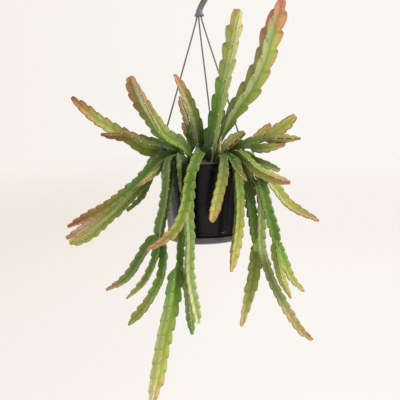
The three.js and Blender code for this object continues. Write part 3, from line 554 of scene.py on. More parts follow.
BALL, BALL_FACES = icosphere()


def mesh_of(name, bm):
    mesh = bpy.data.meshes.new(name)
    bm.to_mesh(mesh)
    bm.free()
    return mesh


def linked(name, data):
    """A new object in the scene."""
    made = bpy.data.objects.new(name, data)
    bpy.context.scene.collection.objects.link(made)
    return made


class Build:
    """Collects vertices, faces, colours and material numbers of one piece."""

    def __init__(self):
        self.points, self.faces, self.tones, self.kinds, self.count = [], [], [], [], 0

    def add(self, points, faces, tone, kind=0):
        points = np.asarray(points, float)
        self.points.append(points)
        base = self.count
        self.faces.extend([tuple(int(i) + base for i in f) for f in faces])
        self.kinds.extend([kind] * len(faces))
        self.tones.append(np.broadcast_to(tone, (len(points), 3)))
        self.count += len(points)

    def piece(self, name, materials, slot, node):
        mesh = bpy.data.meshes.new(name)
        mesh.from_pydata(place(np.vstack(self.points)).tolist(), [], self.faces)
        tone = np.ones((self.count, 4), np.float32)
        tone[:, :3] = np.vstack(self.tones)
        layer = mesh.color_attributes.new(name="tone", type="FLOAT_COLOR", domain="POINT")
        layer.data.foreach_set("color", tone.ravel())
        for m in materials:
            mesh.materials.append(m)
        mesh.polygons.foreach_set("material_index", self.kinds)
        mesh.polygons.foreach_set("use_smooth", [True] * len(mesh.polygons))
        mesh.update()
        piece = linked(name, mesh)
        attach(piece, "root")
        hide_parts(node)
        return piece


def ring_faces(rings, around, closed_start=True):
    """Quads between rings of vertices."""
    j = np.arange(around)
    k = np.roll(j, -1)
    faces = []
    for r in range(rings - 1):
        a, b = r * around, (r + 1) * around
        faces.extend(np.stack([a + j, a + k, b + k, b + j], axis=1).tolist())
    if closed_start:
        faces.append(list(range(around))[::-1])
    return faces


def add_closed_rings(build, rings, ends, tone, flip=False):
    """Rings of vertices whose first and last rings are closed by a point each."""
    around = rings.shape[1]
    n = len(rings) * around
    faces = ring_faces(len(rings), around, closed_start=False)
    for j in range(around):
        k = (j + 1) % around
        faces += [(k, j, n), (n - around + j, n - around + k, n + 1)]
    if flip:
        faces = [f[::-1] for f in faces]
    build.add(np.vstack([rings.reshape(-1, 3), *ends]), faces, tone)


def add_rod(build, rings, tone):
    """Rings of vertices whose first and last rings are closed by a face each."""
    around = rings.shape[1]
    faces = ring_faces(len(rings), around)
    faces.append([(len(rings) - 1) * around + j for j in range(around)])
    build.add(rings.reshape(-1, 3), faces, tone)


# Where the margin's colour starts, how soon it is full, and how it changes from lobe to lobe
BLUSH_START, BLUSH_RUN, BLUSH_LOW, BLUSH_CHANGE = 0.6, 0.38, 0.7, 0.5
# The dark line along a margin, which is weaker on the front wing where its sides are told apart
LINE, LINE_START, LINE_TINT, RIDGE_LINE = 0.6, 0.86, np.array([0.5, 0.32, 0.34]), 0.12
# How dark the painted shade in creases is on the face and at the margin, how pale the painted highlight on
# swellings is, and how dark the painted shade in valleys is
CREASE_FACE, CREASE_EDGE, CREASE_TONE_RUN = 0.02, 0.6, 0.07
SWELL_LIGHT, VALLEY_SHADE = 0.1, 0.4
# Painted shade near the roots, where the stems crowd and shade each other
ROOT_SHADE, ROOT_RUN = 0.52, 56
# Radius of a tuft of wool: the least, what chance adds, and a share of the margins' radius
TUFT, TUFT_CHANGE, TUFT_SHARE = 0.35, 0.3, 0.042
# How far it stands out, how long it is along the margin, and how uneven
TUFT_OUT, TUFT_ALONG, TUFT_ROUGH = 0.8, 1.25, 0.25


def three(words):
    """Rows of colours for all three faces or edges."""
    if isinstance(words, str):
        return (words,) * 3
    return (words[0], "green", words[1]) if len(words) == 2 else words


# Columns of one wing, from one valley over the margin to the next, and the side that each is on
AROUND = 3 * 2 * HALF
ORDER = list(range(HALF - 1, 0, -1)) + list(range(0, HALF + 1))
SIDE = np.array([-1] * (HALF - 1) + [1] * (HALF + 1))
# Thickness of a margin: at least, as a share of the reach, and at most
THIN, THICK_SHARE, THICK = 0.4, 0.075, 1.5


class Skin:
    """Rings of vertices of one stem, and what their colours need to know of each vertex."""

    def __init__(self, stem, path, shape, first, twist, seed):
        s = path.s
        self.t, self.grown = s / path.length, shape.grown(s)
        taper, valley = shape.taper(s), shape.valley(s)
        thick = min(THIN + THICK_SHARE * stem["reach"], THICK) * taper ** 0.5
        self.ring = np.zeros((len(s), AROUND, 3))
        self.near, self.phases, self.lobes = (np.zeros((len(s), AROUND)) for _ in range(3))
        for w in range(3):
            angle = first + w * 2 * math.pi / 3 + twist * (self.t - 0.5)
            cos, sin = np.cos(angle)[:, None], np.sin(angle)[:, None]
            out = cos * path.side + sin * path.across
            off = cos * path.across - sin * path.side
            lobe, phase = shape.phase(s, w)
            x, y = half_wing(shape.margin(s, w), valley, thick, phase, self.grown, shape.core * taper)
            lean = stem.get("sway", (SWAY,) * 3)[w] * np.sin(math.pi * phase ** 1.5) * self.grown
            aside = SIDE * y[:, ORDER] + lean[:, None] * NEAR_EDGE[ORDER] ** 2
            cols = slice(w * 2 * HALF, (w + 1) * 2 * HALF)
            self.ring[:, cols] = (path.at[:, None] + x[:, ORDER, None] * out[:, None]
                                  + aside[:, :, None] * off[:, None])
            self.near[:, cols] = NEAR_EDGE[ORDER]
            self.phases[:, cols] = phase[:, None]
            self.lobes[:, cols] = chance(seed + 7 * w, lobe)[:, None]
        self.close(path.at[-1], path.along[-1] * APEX * stem["reach"])

    def close(self, end, rise):
        """Smaller rings close the end, up to an apex."""
        turns = np.array(CAP)[:, None, None] * math.pi / 2
        caps = end + (self.ring[-1] - end) * np.cos(turns) ** CAP_ROUND + rise * np.sin(turns)
        self.ring = np.concatenate([self.ring, caps])
        self.apex = end + rise
        extra = len(CAP)
        self.near, self.lobes = (np.concatenate([v, np.repeat(v[-1:], extra, axis=0)])
                                 for v in (self.near, self.lobes))
        self.phases = np.concatenate([self.phases, np.full((extra, AROUND), 0.5)])
        self.t = np.concatenate([self.t, np.ones(extra)])
        self.grown = np.concatenate([self.grown, np.ones(extra)])


def skin_colours(stem, skin):
    """Colours of the faces and of the margins, from the rows of palette names."""
    rows = [gradient(words, skin.t)[:, None] for words in three(stem["face"])]
    rims = [gradient(words, skin.t)[:, None] for words in three(stem["edge"])]
    face, edge = np.zeros_like(skin.ring), np.zeros_like(skin.ring)
    for w in range(3):
        start = w * 2 * HALF
        crest, stop = start + HALF - 1, start + 2 * HALF
        face[:, start:crest] = rows[w - 1]
        face[:, crest:crest + 1] = (rows[w] + rows[w - 1]) / 2
        face[:, crest + 1:stop] = rows[w]
        edge[:, start:stop] = rims[w]
    # The front wing's own sides, left and right, where the light or the shade makes them differ
    sides = slice(0, HALF - 1), slice(HALF, 2 * HALF - 1)
    for cols, words in zip(sides, stem.get("flank", ("", ""))):
        if words:
            face[:, cols] = edge[:, cols] = gradient(words, skin.t)[:, None]
    return face, edge


def skin_tones(stem, skin, length, bare):
    """Margins that blush, a thin dark line round each lobe, painted shade in creases, valleys and near the
    roots, and a painted highlight on swellings.
    """
    near, phases, full = skin.near, skin.phases, skin.grown[:, None]
    face, edge = skin_colours(stem, skin)
    patchy = BLUSH_LOW + BLUSH_CHANGE * skin.lobes
    spread = np.clip(smooth((near - BLUSH_START) / BLUSH_RUN) * patchy * full, 0, 1)[:, :, None]
    tone = face + (edge - face) * spread
    line = (smooth((near - LINE_START) / (1 - LINE_START)) * full * LINE)[:, :, None]
    if "flank" in stem:
        line[:, :2 * HALF] *= RIDGE_LINE
    tone = tone * (1 - line) + edge * LINE_TINT * line
    # Painted shade in the creases that slant in from each notch, darkest at the margin
    slanted = (phases + CREASE_SLANT * (1 - near)) % 1
    dip = np.exp(-(np.minimum(slanted, 1 - slanted) / CREASE_TONE_RUN) ** 2) * full
    tone *= 1 - (dip * (CREASE_FACE + CREASE_EDGE * near))[:, :, None]
    # Painted highlight on the swelling in the middle of each lobe
    swollen = np.sin(math.pi * np.clip(phases, 0, 1)) * full * near * (1 - near) * 4
    tone *= 1 + SWELL_LIGHT * swollen[:, :, None]
    # Painted shade in the valleys between the wings
    tone *= 1 - VALLEY_SHADE * ((1 - near) ** 3 * full)[:, :, None]
    # Painted shade near the roots, where the stems crowd; old is how near a ring lies to its root
    if "root" in stem:
        old = np.exp(-(np.maximum(skin.t * length - bare, 0) / ROOT_RUN) ** 2)
        tone *= 1 - ROOT_SHADE * old[:, None, None]
    return tone


def add_stem(build, stem, seed):
    points = list(stem["route"])
    if "root" in stem:
        points = [(*stem["root"], ROOT_Z), (*stem["root"], STALK_Z)] + points
    path = Path(points, RING)
    shape = Shape(stem, path, seed)
    mid = round((len(path.s) - 1) / 2)
    along, side = path.along[mid], path.side[mid]
    front = unit(np.array([0, -1, 0]) + along * along[1])
    first = math.atan2(np.cross(side, front).dot(along), side.dot(front)) + math.radians(stem["turn"])
    twist = math.radians(stem.get("twist", 0))

    skin = Skin(stem, path, shape, first, twist, seed)
    tone = skin_tones(stem, skin, path.length, shape.bare)
    rings = len(skin.ring)
    faces = ring_faces(rings, AROUND)
    top = rings * AROUND
    last = top - AROUND
    faces += [(last + j, last + (j + 1) % AROUND, top) for j in range(AROUND)]
    build.add(np.vstack([skin.ring.reshape(-1, 3), skin.apex]), faces,
              np.vstack([tone.reshape(-1, 3), tone[-1].mean(axis=0)]))

    add_areoles(build, stem, path, shape, first, twist, seed)
    for i, branch in enumerate(stem.get("branches", [])):
        add_stem(build, branch, seed + 10 * (i + 1))


def add_areoles(build, stem, path, shape, first, twist, seed):
    """A tuft of pale wool sits in each notch."""
    wool = colour("wool")
    for w in range(3):
        for k in range(-1, shape.lobes + 1):
            s = shape.bare + (k + w / 3 + shape.shift[w]) * shape.pitch
            if s < shape.bare or s > path.length - 1 or shape.grown(s) < 0.4:
                continue
            at, along = (v[0] for v in path.sample(np.array([s])))
            i = min(int(s / path.length * (len(path.s) - 1)), len(path.s) - 1)
            side = unit(path.side[i] - along * path.side[i].dot(along))
            angle = first + w * 2 * math.pi / 3 + twist * (s / path.length - 0.5)
            out = math.cos(angle) * side + math.sin(angle) * np.cross(along, side)
            off = np.cross(along, out)
            radius = float(shape.margin(np.array([s]), w)[0])
            size = TUFT + TUFT_CHANGE * float(chance(seed + 31 * w, k)) + TUFT_SHARE * stem["reach"]
            centre = at + out * radius + along * 0.3
            jitter = 1 + TUFT_ROUGH * (chance(seed + w + k, np.arange(len(BALL)))[:, None] - 0.5)
            local = BALL * jitter * size
            shell = (centre + local[:, :1] * out * TUFT_OUT + local[:, 1:2] * off
                     + local[:, 2:] * along * TUFT_ALONG)
            build.add(shell, BALL_FACES, wool * (0.75 + 0.25 * float(chance(seed + 3, k))), 1)


# Materials

class Nodes:
    """Short names for the nodes of one material or world."""

    def __init__(self, owner):
        owner.use_nodes = True
        self.owner, self.tree = owner, owner.node_tree

    def new(self, kind, links=None, **values):
        node = self.tree.nodes.new(kind)
        for key, value in values.items():
            setattr(node, key, value)
        for socket, value in (links or {}).items():
            self.put(node.inputs[socket], value)
        return node

    def put(self, socket, value):
        if isinstance(value, bpy.types.NodeSocket):
            self.tree.links.new(value, socket)
        else:
            socket.default_value = value

    def where(self):
        return self.new("ShaderNodeTexCoord").outputs["Object"]

    def tone(self):
        return self.new("ShaderNodeAttribute", attribute_name="tone").outputs["Color"]

    def join(self, x, y, z):
        return self.new("ShaderNodeCombineXYZ", {"X": x, "Y": y, "Z": z}).outputs[0]

    def times(self, a, b):
        return self.new("ShaderNodeMath", {0: a, 1: b}, operation="MULTIPLY").outputs[0]

    def noise(self, scale, detail=3, rough=0.5):
        node = self.new("ShaderNodeTexNoise", {"Vector": self.where(), "Scale": scale,
                                               "Detail": detail, "Roughness": rough})
        return node.outputs["Fac"]

    def span(self, value, low, high, to_low, to_high):
        node = self.new("ShaderNodeMapRange", {"Value": value, "From Min": low, "From Max": high,
                                               "To Min": to_low, "To Max": to_high})
        return node.outputs["Result"]

    def mix(self, kind, factor, a, b):
        node = self.new("ShaderNodeMix", data_type="RGBA", blend_type=kind)
        self.put(node.inputs[0], factor)
        self.put(node.inputs[6], a)
        self.put(node.inputs[7], b)
        return node.outputs[2]

    def bump(self, height, distance, strength=1.0, normal=None):
        links = {"Height": height, "Distance": distance, "Strength": strength}
        if normal:
            links["Normal"] = normal
        return self.new("ShaderNodeBump", links).outputs["Normal"]

    def set(self, **values):
        names = {"colour": "Base Color", "rough": "Roughness", "normal": "Normal",
                 "specular": "Specular IOR Level"}
        for key, value in values.items():
            self.put(self.tree.nodes["Principled BSDF"].inputs[names[key]], value)
        return self.owner


def new_material(name):
    return Nodes(bpy.data.materials.new(name))


def rgba(value):
    return (*[float(v) for v in value], 1)


# The middle of a noise's values, which most of a surface has
NOISE = 0.3, 0.7


def stem_material(name, bloom):
    """Waxy skin: mottled colour, pale pores, fine wrinkles; bloom greys and dulls it."""
    m = new_material(name)
    broad = m.span(m.noise(55, 2), *NOISE, 0.86, 1.14)
    mottled = m.span(m.noise(75, 2), *NOISE, 0.9, 1.1)
    fine = m.noise(420, 4, 0.6)
    grain = m.new("ShaderNodeTexVoronoi", {"Vector": m.where(), "Scale": 620.0})
    pore = m.span(grain.outputs["Distance"], 0.0, 0.25, 1.22, 1)
    speck = m.times(m.span(fine, 0.45, 0.75, 0.96, 1.25), pore)
    skin = m.mix("MULTIPLY", 1.0, m.tone(), m.join(broad, mottled, broad))
    skin = m.mix("MULTIPLY", 1.0, skin, m.join(speck, speck, speck))
    skin = m.mix("MIX", bloom, skin, rgba(colour("mist")))
    normal = m.bump(m.noise(160, 3), 0.0006, 0.5)
    normal = m.bump(fine, 0.00025, 0.5, normal)
    rough = m.span(m.noise(240, 3), *NOISE, 0.42 + bloom, 0.58 + bloom)
    return m.set(colour=skin, rough=rough, normal=normal, specular=0.2)


def wool_material():
    m = new_material("areole_wool")
    fine = m.noise(3000, 3, 0.7)
    shade = m.mix("MIX", m.span(fine, 0.35, 0.7, 0, 0.5), m.tone(), rgba(colour("tan")))
    return m.set(colour=shade, rough=0.95, normal=m.bump(fine, 0.0003, 1.0), specular=0.1)


DUST = (150, 142, 134)


def plastic_material(name, rgb, rough, specular, dust, wave=1.0):
    """Moulded plastic: faint flow marks, a little dust, fine grain, slightly wavy."""
    m = new_material(name)
    base = linear(rgb)
    flow = m.noise(30, 3, 0.55)
    skin = m.mix("MIX", m.span(flow, *NOISE, 0, 1), rgba(base * 0.82), rgba(base * 1.2))
    skin = m.mix("MULTIPLY", 1.0, skin, m.tone())
    specks = m.noise(900, 2, 0.6)
    skin = m.mix("MIX", m.span(specks, 0.66, 0.8, 0, dust), skin, rgba(linear(DUST)))
    normal = m.bump(m.noise(1400, 2), 0.00006, 0.4)
    normal = m.bump(m.noise(18, 2), 0.0009, 0.25 * wave, normal)
    wear = m.span(m.noise(120, 3), *NOISE, rough * 0.8, rough * 1.25)
    return m.set(colour=skin, rough=wear, normal=normal, specular=specular)


def soil_material():
    m = new_material("peat")
    fine = m.noise(700, 4, 0.65)
    shade = m.mix("MULTIPLY", 1.0, m.tone(), m.join(
        m.span(fine, *NOISE, 0.45, 1.5), m.span(fine, *NOISE, 0.45, 1.45), m.span(fine, *NOISE, 0.5, 1.4)))
    normal = m.bump(m.noise(900, 4, 0.7), 0.0008, 0.9)
    return m.set(colour=shade, rough=0.93, normal=normal, specular=0.15)


# Turned and swept pieces

def rounded(profile, radius, steps=4):
    """A profile with each inner corner cut by a short curve."""
    pts = [np.array(p, float) for p in profile]
    out = [pts[0]]
    for before, here, after in zip(pts, pts[1:], pts[2:]):
        a, b = before - here, after - here
        la, lb = np.linalg.norm(a), np.linalg.norm(b)
        r = min(radius, 0.45 * la, 0.45 * lb)
        start, stop = here + a / la * r, here + b / lb * r
        for k in range(steps + 1):
            t = k / steps
            out.append((1 - t) ** 2 * start + 2 * t * (1 - t) * here + t * t * stop)
    out.append(pts[-1])
    return np.array(out)


def turned(build, profile, segments, tone):
    """A closed profile that starts and ends on the axis, turned about it."""
    profile = np.asarray(profile, float)
    inner = profile[1:-1]
    angle = np.linspace(0, 2 * math.pi, segments, endpoint=False)
    rings = np.stack([
        inner[:, :1] * np.cos(angle), inner[:, :1] * np.sin(angle),
        np.repeat(inner[:, 1:], segments, axis=1)], axis=2)
    add_closed_rings(build, rings, [(0, 0, profile[0, 1]), (0, 0, profile[-1, 1])], tone)


def polar(radius, degrees):
    a = math.radians(degrees)
    return radius * math.cos(a), radius * math.sin(a)


def add_tube(build, line, radius, sides, step, tone):
    """A round rod along a line."""
    path = Path(line, step)
    angle = np.linspace(0, 2 * math.pi, sides, endpoint=False)[:, None]
    around = np.cos(angle) * path.side[:, None] + np.sin(angle) * path.across[:, None]
    add_rod(build, path.at[:, None] + radius * around, tone)


RIM_RADIUS, RIM_BAND, RIM_LIP, WALL = 71, 10, 2.4, 1.5
SHOULDER_RADIUS, SHOULDER_Z, FLOOR_Z = 60.2, -112, -117.5
FOOT_RADIUS, FOOT_BEAD, FOOT_Z = 57.8, 59, -129.8
SAUCER_RADIUS, SAUCER_TOP, SAUCER_BASE, SAUCER_LIP = 61.2, -120.6, -131.8, 58.2
EAR_RING, EAR_WIDTH, EAR_TOP, EAR_THICKNESS, EAR_HOLE = 73.6, 9, -1, 3, 1.9
EAR_ANGLES = {"left": 194, "right": 342, "back": 73}
EAR_ROOT, EAR_BEVEL = RIM_RADIUS - 1.4, 0.35
DRAIN_RADIUS, DRAIN_RING, DRAINS = 4, 38, 4
GAP = 0.3
# A piece whose material alone gives its colour
PLAIN = (1, 1, 1)
POT_SIDES = 144
# How much paler the band is, how bright the painted highlight on the lip is, and how bright the painted
# reflection of the floor on the low wall is
BAND_LIFT, LIP_HIGHLIGHT, LOW_REFLECTION = 1.2, 60, 1.6
# How far the corners of the turned pieces are rounded
POT_ROUND, DISH_ROUND, BARB_ROUND, HUB_ROUND = 0.7, 0.8, 0.3, 0.6


def pot_piece(material):
    build = Build()
    inner = SHOULDER_RADIUS - WALL
    mouth = RIM_RADIUS - RIM_LIP
    profile = [
        (0, FLOOR_Z), (FOOT_RADIUS - 3, FLOOR_Z), (FOOT_RADIUS - 4.2, FOOT_Z),
        (FOOT_RADIUS - 2.3, FOOT_Z), (FOOT_BEAD, FOOT_Z + 4.8), (FOOT_BEAD, FOOT_Z + 6),
        (FOOT_RADIUS, FOOT_Z + 7), (FOOT_RADIUS, FLOOR_Z - 1.3),
        (SHOULDER_RADIUS - 0.4, FLOOR_Z - 0.5), (SHOULDER_RADIUS + 1, SHOULDER_Z - 4.6),
        (SHOULDER_RADIUS + 1, SHOULDER_Z - 1.2), (SHOULDER_RADIUS, SHOULDER_Z),
        (RIM_RADIUS - 1.6, -RIM_BAND - 0.8), (RIM_RADIUS, -RIM_BAND), (RIM_RADIUS, -1.9),
        (RIM_RADIUS, -0.6), (RIM_RADIUS - 0.6, 0), (mouth, 0), (mouth, -RIM_BAND),
        (inner, SHOULDER_Z), (inner - 0.4, FLOOR_Z + WALL), (0, FLOOR_Z + WALL)]
    outline = rounded(profile, POT_ROUND)
    radius, height = outline[1:-1].T
    outside = radius > mouth
    shade = 1 + BAND_LIFT * ((height > -RIM_BAND - 0.4) & outside)
    # A painted highlight along the lip, and a painted reflection of the floor on the low wall
    shade += LIP_HIGHLIGHT * (height > -1.3) + LOW_REFLECTION * (height < SHOULDER_Z + 1)
    shade = np.append(np.repeat(shade, POT_SIDES), (1, 1))[:, None]
    turned(build, outline, POT_SIDES, shade * np.ones(3))
    for degrees in EAR_ANGLES.values():
        add_ear(build, degrees)
    piece = build.piece("pot_shell", [material], "pot_plastic", "pot")
    for i in range(DRAINS):
        x, y = polar(DRAIN_RING, 45 + i * 360 / DRAINS)
        bore(piece, x, y, DRAIN_RADIUS, FLOOR_Z - 1, FLOOR_Z + WALL + 1)


def bore(piece, x, y, radius, bottom, top):
    """Cuts a round hole by a boolean that is applied at once."""
    bm = bmesh.new()
    bmesh.ops.create_cone(bm, cap_ends=True, segments=28, radius1=radius * MM, radius2=radius * MM,
                          depth=(top - bottom) * MM)
    cutter = linked("bore", mesh_of("bore", bm))
    cutter.location = place((x, y, (top + bottom) / 2))
    cut = piece.modifiers.new("bore", "BOOLEAN")
    cut.operation, cut.object, cut.solver = "DIFFERENCE", cutter, "EXACT"
    bpy.context.view_layer.update()
    done = piece.evaluated_get(bpy.context.evaluated_depsgraph_get())
    result = bpy.data.meshes.new_from_object(done)
    piece.modifiers.clear()
    piece.data = result
    bpy.data.objects.remove(cutter)


def add_ear(build, degrees):
    """A lug with a hole: an outline and a hole of as many points each, joined above and below."""
    half = EAR_WIDTH / 2
    turns = np.linspace(-math.pi / 2, math.pi / 2, 13)
    outline = [(EAR_RING + half * math.cos(a), half * math.sin(a)) for a in turns]
    outline += [(EAR_ROOT, share * half) for share in (1, 1 / 3, -1 / 3, -1)]
    outline = np.array(outline)
    centre = np.array([EAR_RING, 0])
    ray = unit(outline - centre)
    hole = centre + ray * EAR_HOLE
    n = len(outline)
    low, high = EAR_TOP - EAR_THICKNESS, EAR_TOP
    shrunk = outline - ray * EAR_BEVEL
    loops = [(hole, low), (shrunk, low), (outline, low + EAR_BEVEL), (outline, high - EAR_BEVEL),
             (shrunk, high), (hole, high)]
    a = math.radians(degrees)
    turn = np.array([[math.cos(a), math.sin(a)], [-math.sin(a), math.cos(a)]])
    points = np.vstack([np.column_stack([xy @ turn, np.full(n, z)]) for xy, z in loops])
    faces = []
    for r in range(len(loops)):
        p, q = r * n, ((r + 1) % len(loops)) * n
        faces += [(p + j, p + (j + 1) % n, q + (j + 1) % n, q + j) for j in range(n)]
    build.add(points, faces, PLAIN)


def saucer_piece(material):
    build = Build()
    profile = [
        (0, SAUCER_BASE + 0.6), (SAUCER_RADIUS - 24, SAUCER_BASE + 0.6),
        (SAUCER_RADIUS - 22.5, SAUCER_BASE), (SAUCER_RADIUS - 9, SAUCER_BASE),
        (SAUCER_RADIUS - 3.7, SAUCER_BASE + 2.3), (SAUCER_RADIUS - 0.7, SAUCER_BASE + 6.8),
        (SAUCER_RADIUS, SAUCER_TOP - 0.4), (SAUCER_RADIUS - 0.4, SAUCER_TOP),
        (SAUCER_LIP, SAUCER_TOP), (SAUCER_LIP, SAUCER_TOP - 2),
        (FOOT_BEAD + 0.4, SAUCER_TOP - 2.6), (FOOT_BEAD + 0.4, FOOT_Z + 4.5),
        (FOOT_RADIUS - 1.2, FOOT_Z + 0.4), (FOOT_RADIUS - 3, FOOT_Z - 0.4), (0, FOOT_Z - 0.4)]
    turned(build, rounded(profile, DISH_ROUND), POT_SIDES, PLAIN)
    build.piece("saucer_dish", [material], "saucer_plastic", "saucer")


# Radii and heights of the soil's surface before its lumps, and the reach of its edge
SOIL_TOP = ((0, 18, 36, 48, 68.3), (-1.6, -2.0, -4.9, -5.5, -6.5))
SOIL_EDGE = RIM_RADIUS - RIM_LIP - GAP
LUMP_SCALE, LUMP = 0.11, 1.1
# Soil is heaped against the front of the rim: height, reach inwards, azimuth and spread
MOUND_HEIGHT, MOUND_REACH, MOUND_AZIMUTH, MOUND_SPREAD = 6.4, 14, 268, 27
PEAT_DARK, PEAT_MID, PEAT_PALE = (linear(rgb) for rgb in ((52, 36, 27), (104, 74, 54), (168, 122, 98)))
CRUMBS, FRONT_CRUMBS, FIBRES, FIBRE_RADIUS = 620, 130, 150, 0.28
# Crumbs are larger inside this radius; some lie between these azimuths on the heap
INNER_RADIUS, FRONT_AZIMUTHS, SOIL_SEED = 40, (238, 302), 11


def soil_height(x, y):
    lump = noise.fractal(Vector((x * LUMP_SCALE, y * LUMP_SCALE, 3)), 0.6, 2.0, 4)
    turn = (math.degrees(math.atan2(y, x)) - MOUND_AZIMUTH + 180) % 360 - 180
    inward = (SOIL_TOP[0][-1] - math.hypot(x, y)) / MOUND_REACH
    heap = MOUND_HEIGHT * math.exp(-(turn / MOUND_SPREAD) ** 2 - inward ** 2)
    return float(np.interp(math.hypot(x, y), *SOIL_TOP)) + GAP + LUMP * lump + heap


def on_soil(radius, angle):
    x, y = radius * math.cos(angle), radius * math.sin(angle)
    return np.array([x, y, soil_height(x, y)])


def crumb(rng, size):
    squash = 0.5 + rng.random(3)
    return BALL * squash * size * (0.75 + 0.5 * rng.random((len(BALL), 1)))


def soil_piece(material):
    """Peat with an uneven top, crumbs and fibres."""
    rng = np.random.default_rng(SOIL_SEED)
    build = Build()
    inner = SHOULDER_RADIUS - WALL - GAP
    edge = [SOIL_EDGE - 1.2, SOIL_EDGE, SOIL_EDGE - 0.2, inner - 0.1, inner - 0.4]
    radii = np.concatenate([np.linspace(2, SOIL_EDGE - 3, 30), edge])
    angles = np.linspace(0, 2 * math.pi, 96, endpoint=False)
    grid = np.array([[on_soil(r, a) for a in angles] for r in radii])
    bottom = FLOOR_Z + WALL + GAP
    grid[-4, :, 2] = np.minimum(grid[-4, :, 2], SOIL_TOP[1][-1] - GAP)
    for i, z in ((-3, -RIM_BAND), (-2, SHOULDER_Z), (-1, bottom)):
        grid[i, :, 2] = z
    middle = float(grid[0, :, 2].mean())
    add_closed_rings(build, grid, [(0, 0, middle), (0, 0, bottom)], PEAT_DARK, flip=True)
    for _ in range(CRUMBS):
        radius = (SOIL_EDGE - 3) * math.sqrt(rng.random())
        spot = on_soil(radius, rng.random() * 2 * math.pi)
        size = 0.6 + (2.2 if radius < INNER_RADIUS else 1.5) * rng.random() ** 2
        shell = crumb(rng, size)
        pick = rng.random()
        tone = PEAT_PALE if pick > 0.86 else PEAT_MID if pick > 0.5 else PEAT_DARK
        build.add(shell + spot + (0, 0, 0.3 * size), BALL_FACES, tone * (0.7 + 0.6 * rng.random()))
    for _ in range(FRONT_CRUMBS):
        radius = SOIL_EDGE - 1.5 - 5 * rng.random() ** 1.5
        spot = on_soil(radius, math.radians(rng.uniform(*FRONT_AZIMUTHS)))
        shell = crumb(rng, 0.5 + 1.1 * rng.random() ** 2)
        spot[2] += 0.3 + 1.3 * rng.random()
        tone = PEAT_PALE if rng.random() > 0.45 else PEAT_MID
        build.add(shell + spot, BALL_FACES, tone * (0.7 + 0.6 * rng.random()))
    for _ in range(FIBRES):
        radius = (SOIL_EDGE - 6) * math.sqrt(rng.random())
        spot = on_soil(radius, rng.random() * 2 * math.pi) + (0, 0, 0.6)
        heading, length = rng.random() * 2 * math.pi, 4 + 7 * rng.random()
        step = np.array([math.cos(heading), math.sin(heading), 0]) * length / 2
        line = [spot - step, spot + (0, 0, 0.4 + 1.2 * rng.random()), spot + step]
        add_tube(build, line, FIBRE_RADIUS, 5, 1.6, PEAT_MID * (0.8 + 0.9 * rng.random()))
    build.piece("soil_surface", [material], "soil_peat", "soil")


STRAND_RADIUS, STRAND_TOP, SOCKET_RING, SOCKET_DEPTH = 1.3, 239, 3.2, 7
SOCKET_ANGLES = {"left": 180, "right": 325, "back": 101}
BARB_RADIUS, BARB_LENGTH = 2.6, 4
# The strands darken below this height, over this run and by this share
LOW_DARK_TOP, LOW_DARK_RUN, LOW_DARK_SHARE = 60, 30, 0.6
# Just above its ear a strand bends into the upright
KINK_TOP, KINK_BASE, KINK_OFFSET = 14.7, 5, 2
HUB_BASE, HUB_TOP, HUB_RADIUS, HUB_X = 235, 246, 8.2, -0.4
CROOK_RADIUS, HOOK_WIDTH, HOOK_DEPTH, HOOK_CORNER = 20.7, 9.4, 6, 1.5
SHANK_X, SHANK_DROP, HOOK_ARC = 10, 25, range(-35, 196, 23)
HOOK_STEP, HOOK_END, HOOK_END_RUN = 1.5, 0.55, 2.2
# The round crook is lowered by what its solid's flat sides cut off
CROOK_SAG = 0.09


def strand_piece(name, material):
    build = Build()
    barb_top = EAR_TOP - EAR_THICKNESS - GAP

    def socket(radius, z):
        x, y = polar(radius, SOCKET_ANGLES[name])
        return np.array([x + HUB_X, y, z])

    def ear(radius, z):
        return np.array([*polar(radius, EAR_ANGLES[name]), z])

    start = socket(SOCKET_RING + 1, STRAND_TOP - SOCKET_DEPTH)
    end = ear(EAR_RING - KINK_OFFSET, KINK_TOP)
    line = [socket(SOCKET_RING, STRAND_TOP), start, (start + end) / 2, end,
            ear(EAR_RING, KINK_BASE), ear(EAR_RING, barb_top - 1)]
    add_tube(build, line, STRAND_RADIUS, 16, 2, PLAIN)
    # The low ends are darker
    height = build.points[-1][:, 2:]
    build.tones[-1] = 1 - LOW_DARK_SHARE * smooth((LOW_DARK_TOP - height) / LOW_DARK_RUN) * np.ones(3)
    low = barb_top - BARB_LENGTH
    barb = [(0, low), (STRAND_RADIUS / 2, low), (BARB_RADIUS, barb_top), (0, barb_top)]
    turned(build, rounded(barb, BARB_ROUND), 24, PLAIN)
    build.points[-1] = build.points[-1] + ear(EAR_RING, 0)
    build.piece(f"strand_{name}", [material], "hanger_plastic", f"hanger_strand_{name}")


def hook_section():
    """The hook's cross-section: a rectangle with round corners."""
    half_width, half_depth = HOOK_WIDTH / 2 - HOOK_CORNER, HOOK_DEPTH / 2 - HOOK_CORNER
    points = []
    for cx, cy, start in ((1, 1, 0), (-1, 1, 90), (-1, -1, 180), (1, -1, 270)):
        for k in range(6):
            dx, dy = polar(HOOK_CORNER, start + k * 18)
            points.append((cx * half_width + dx, cy * half_depth + dy))
    return np.array(points)


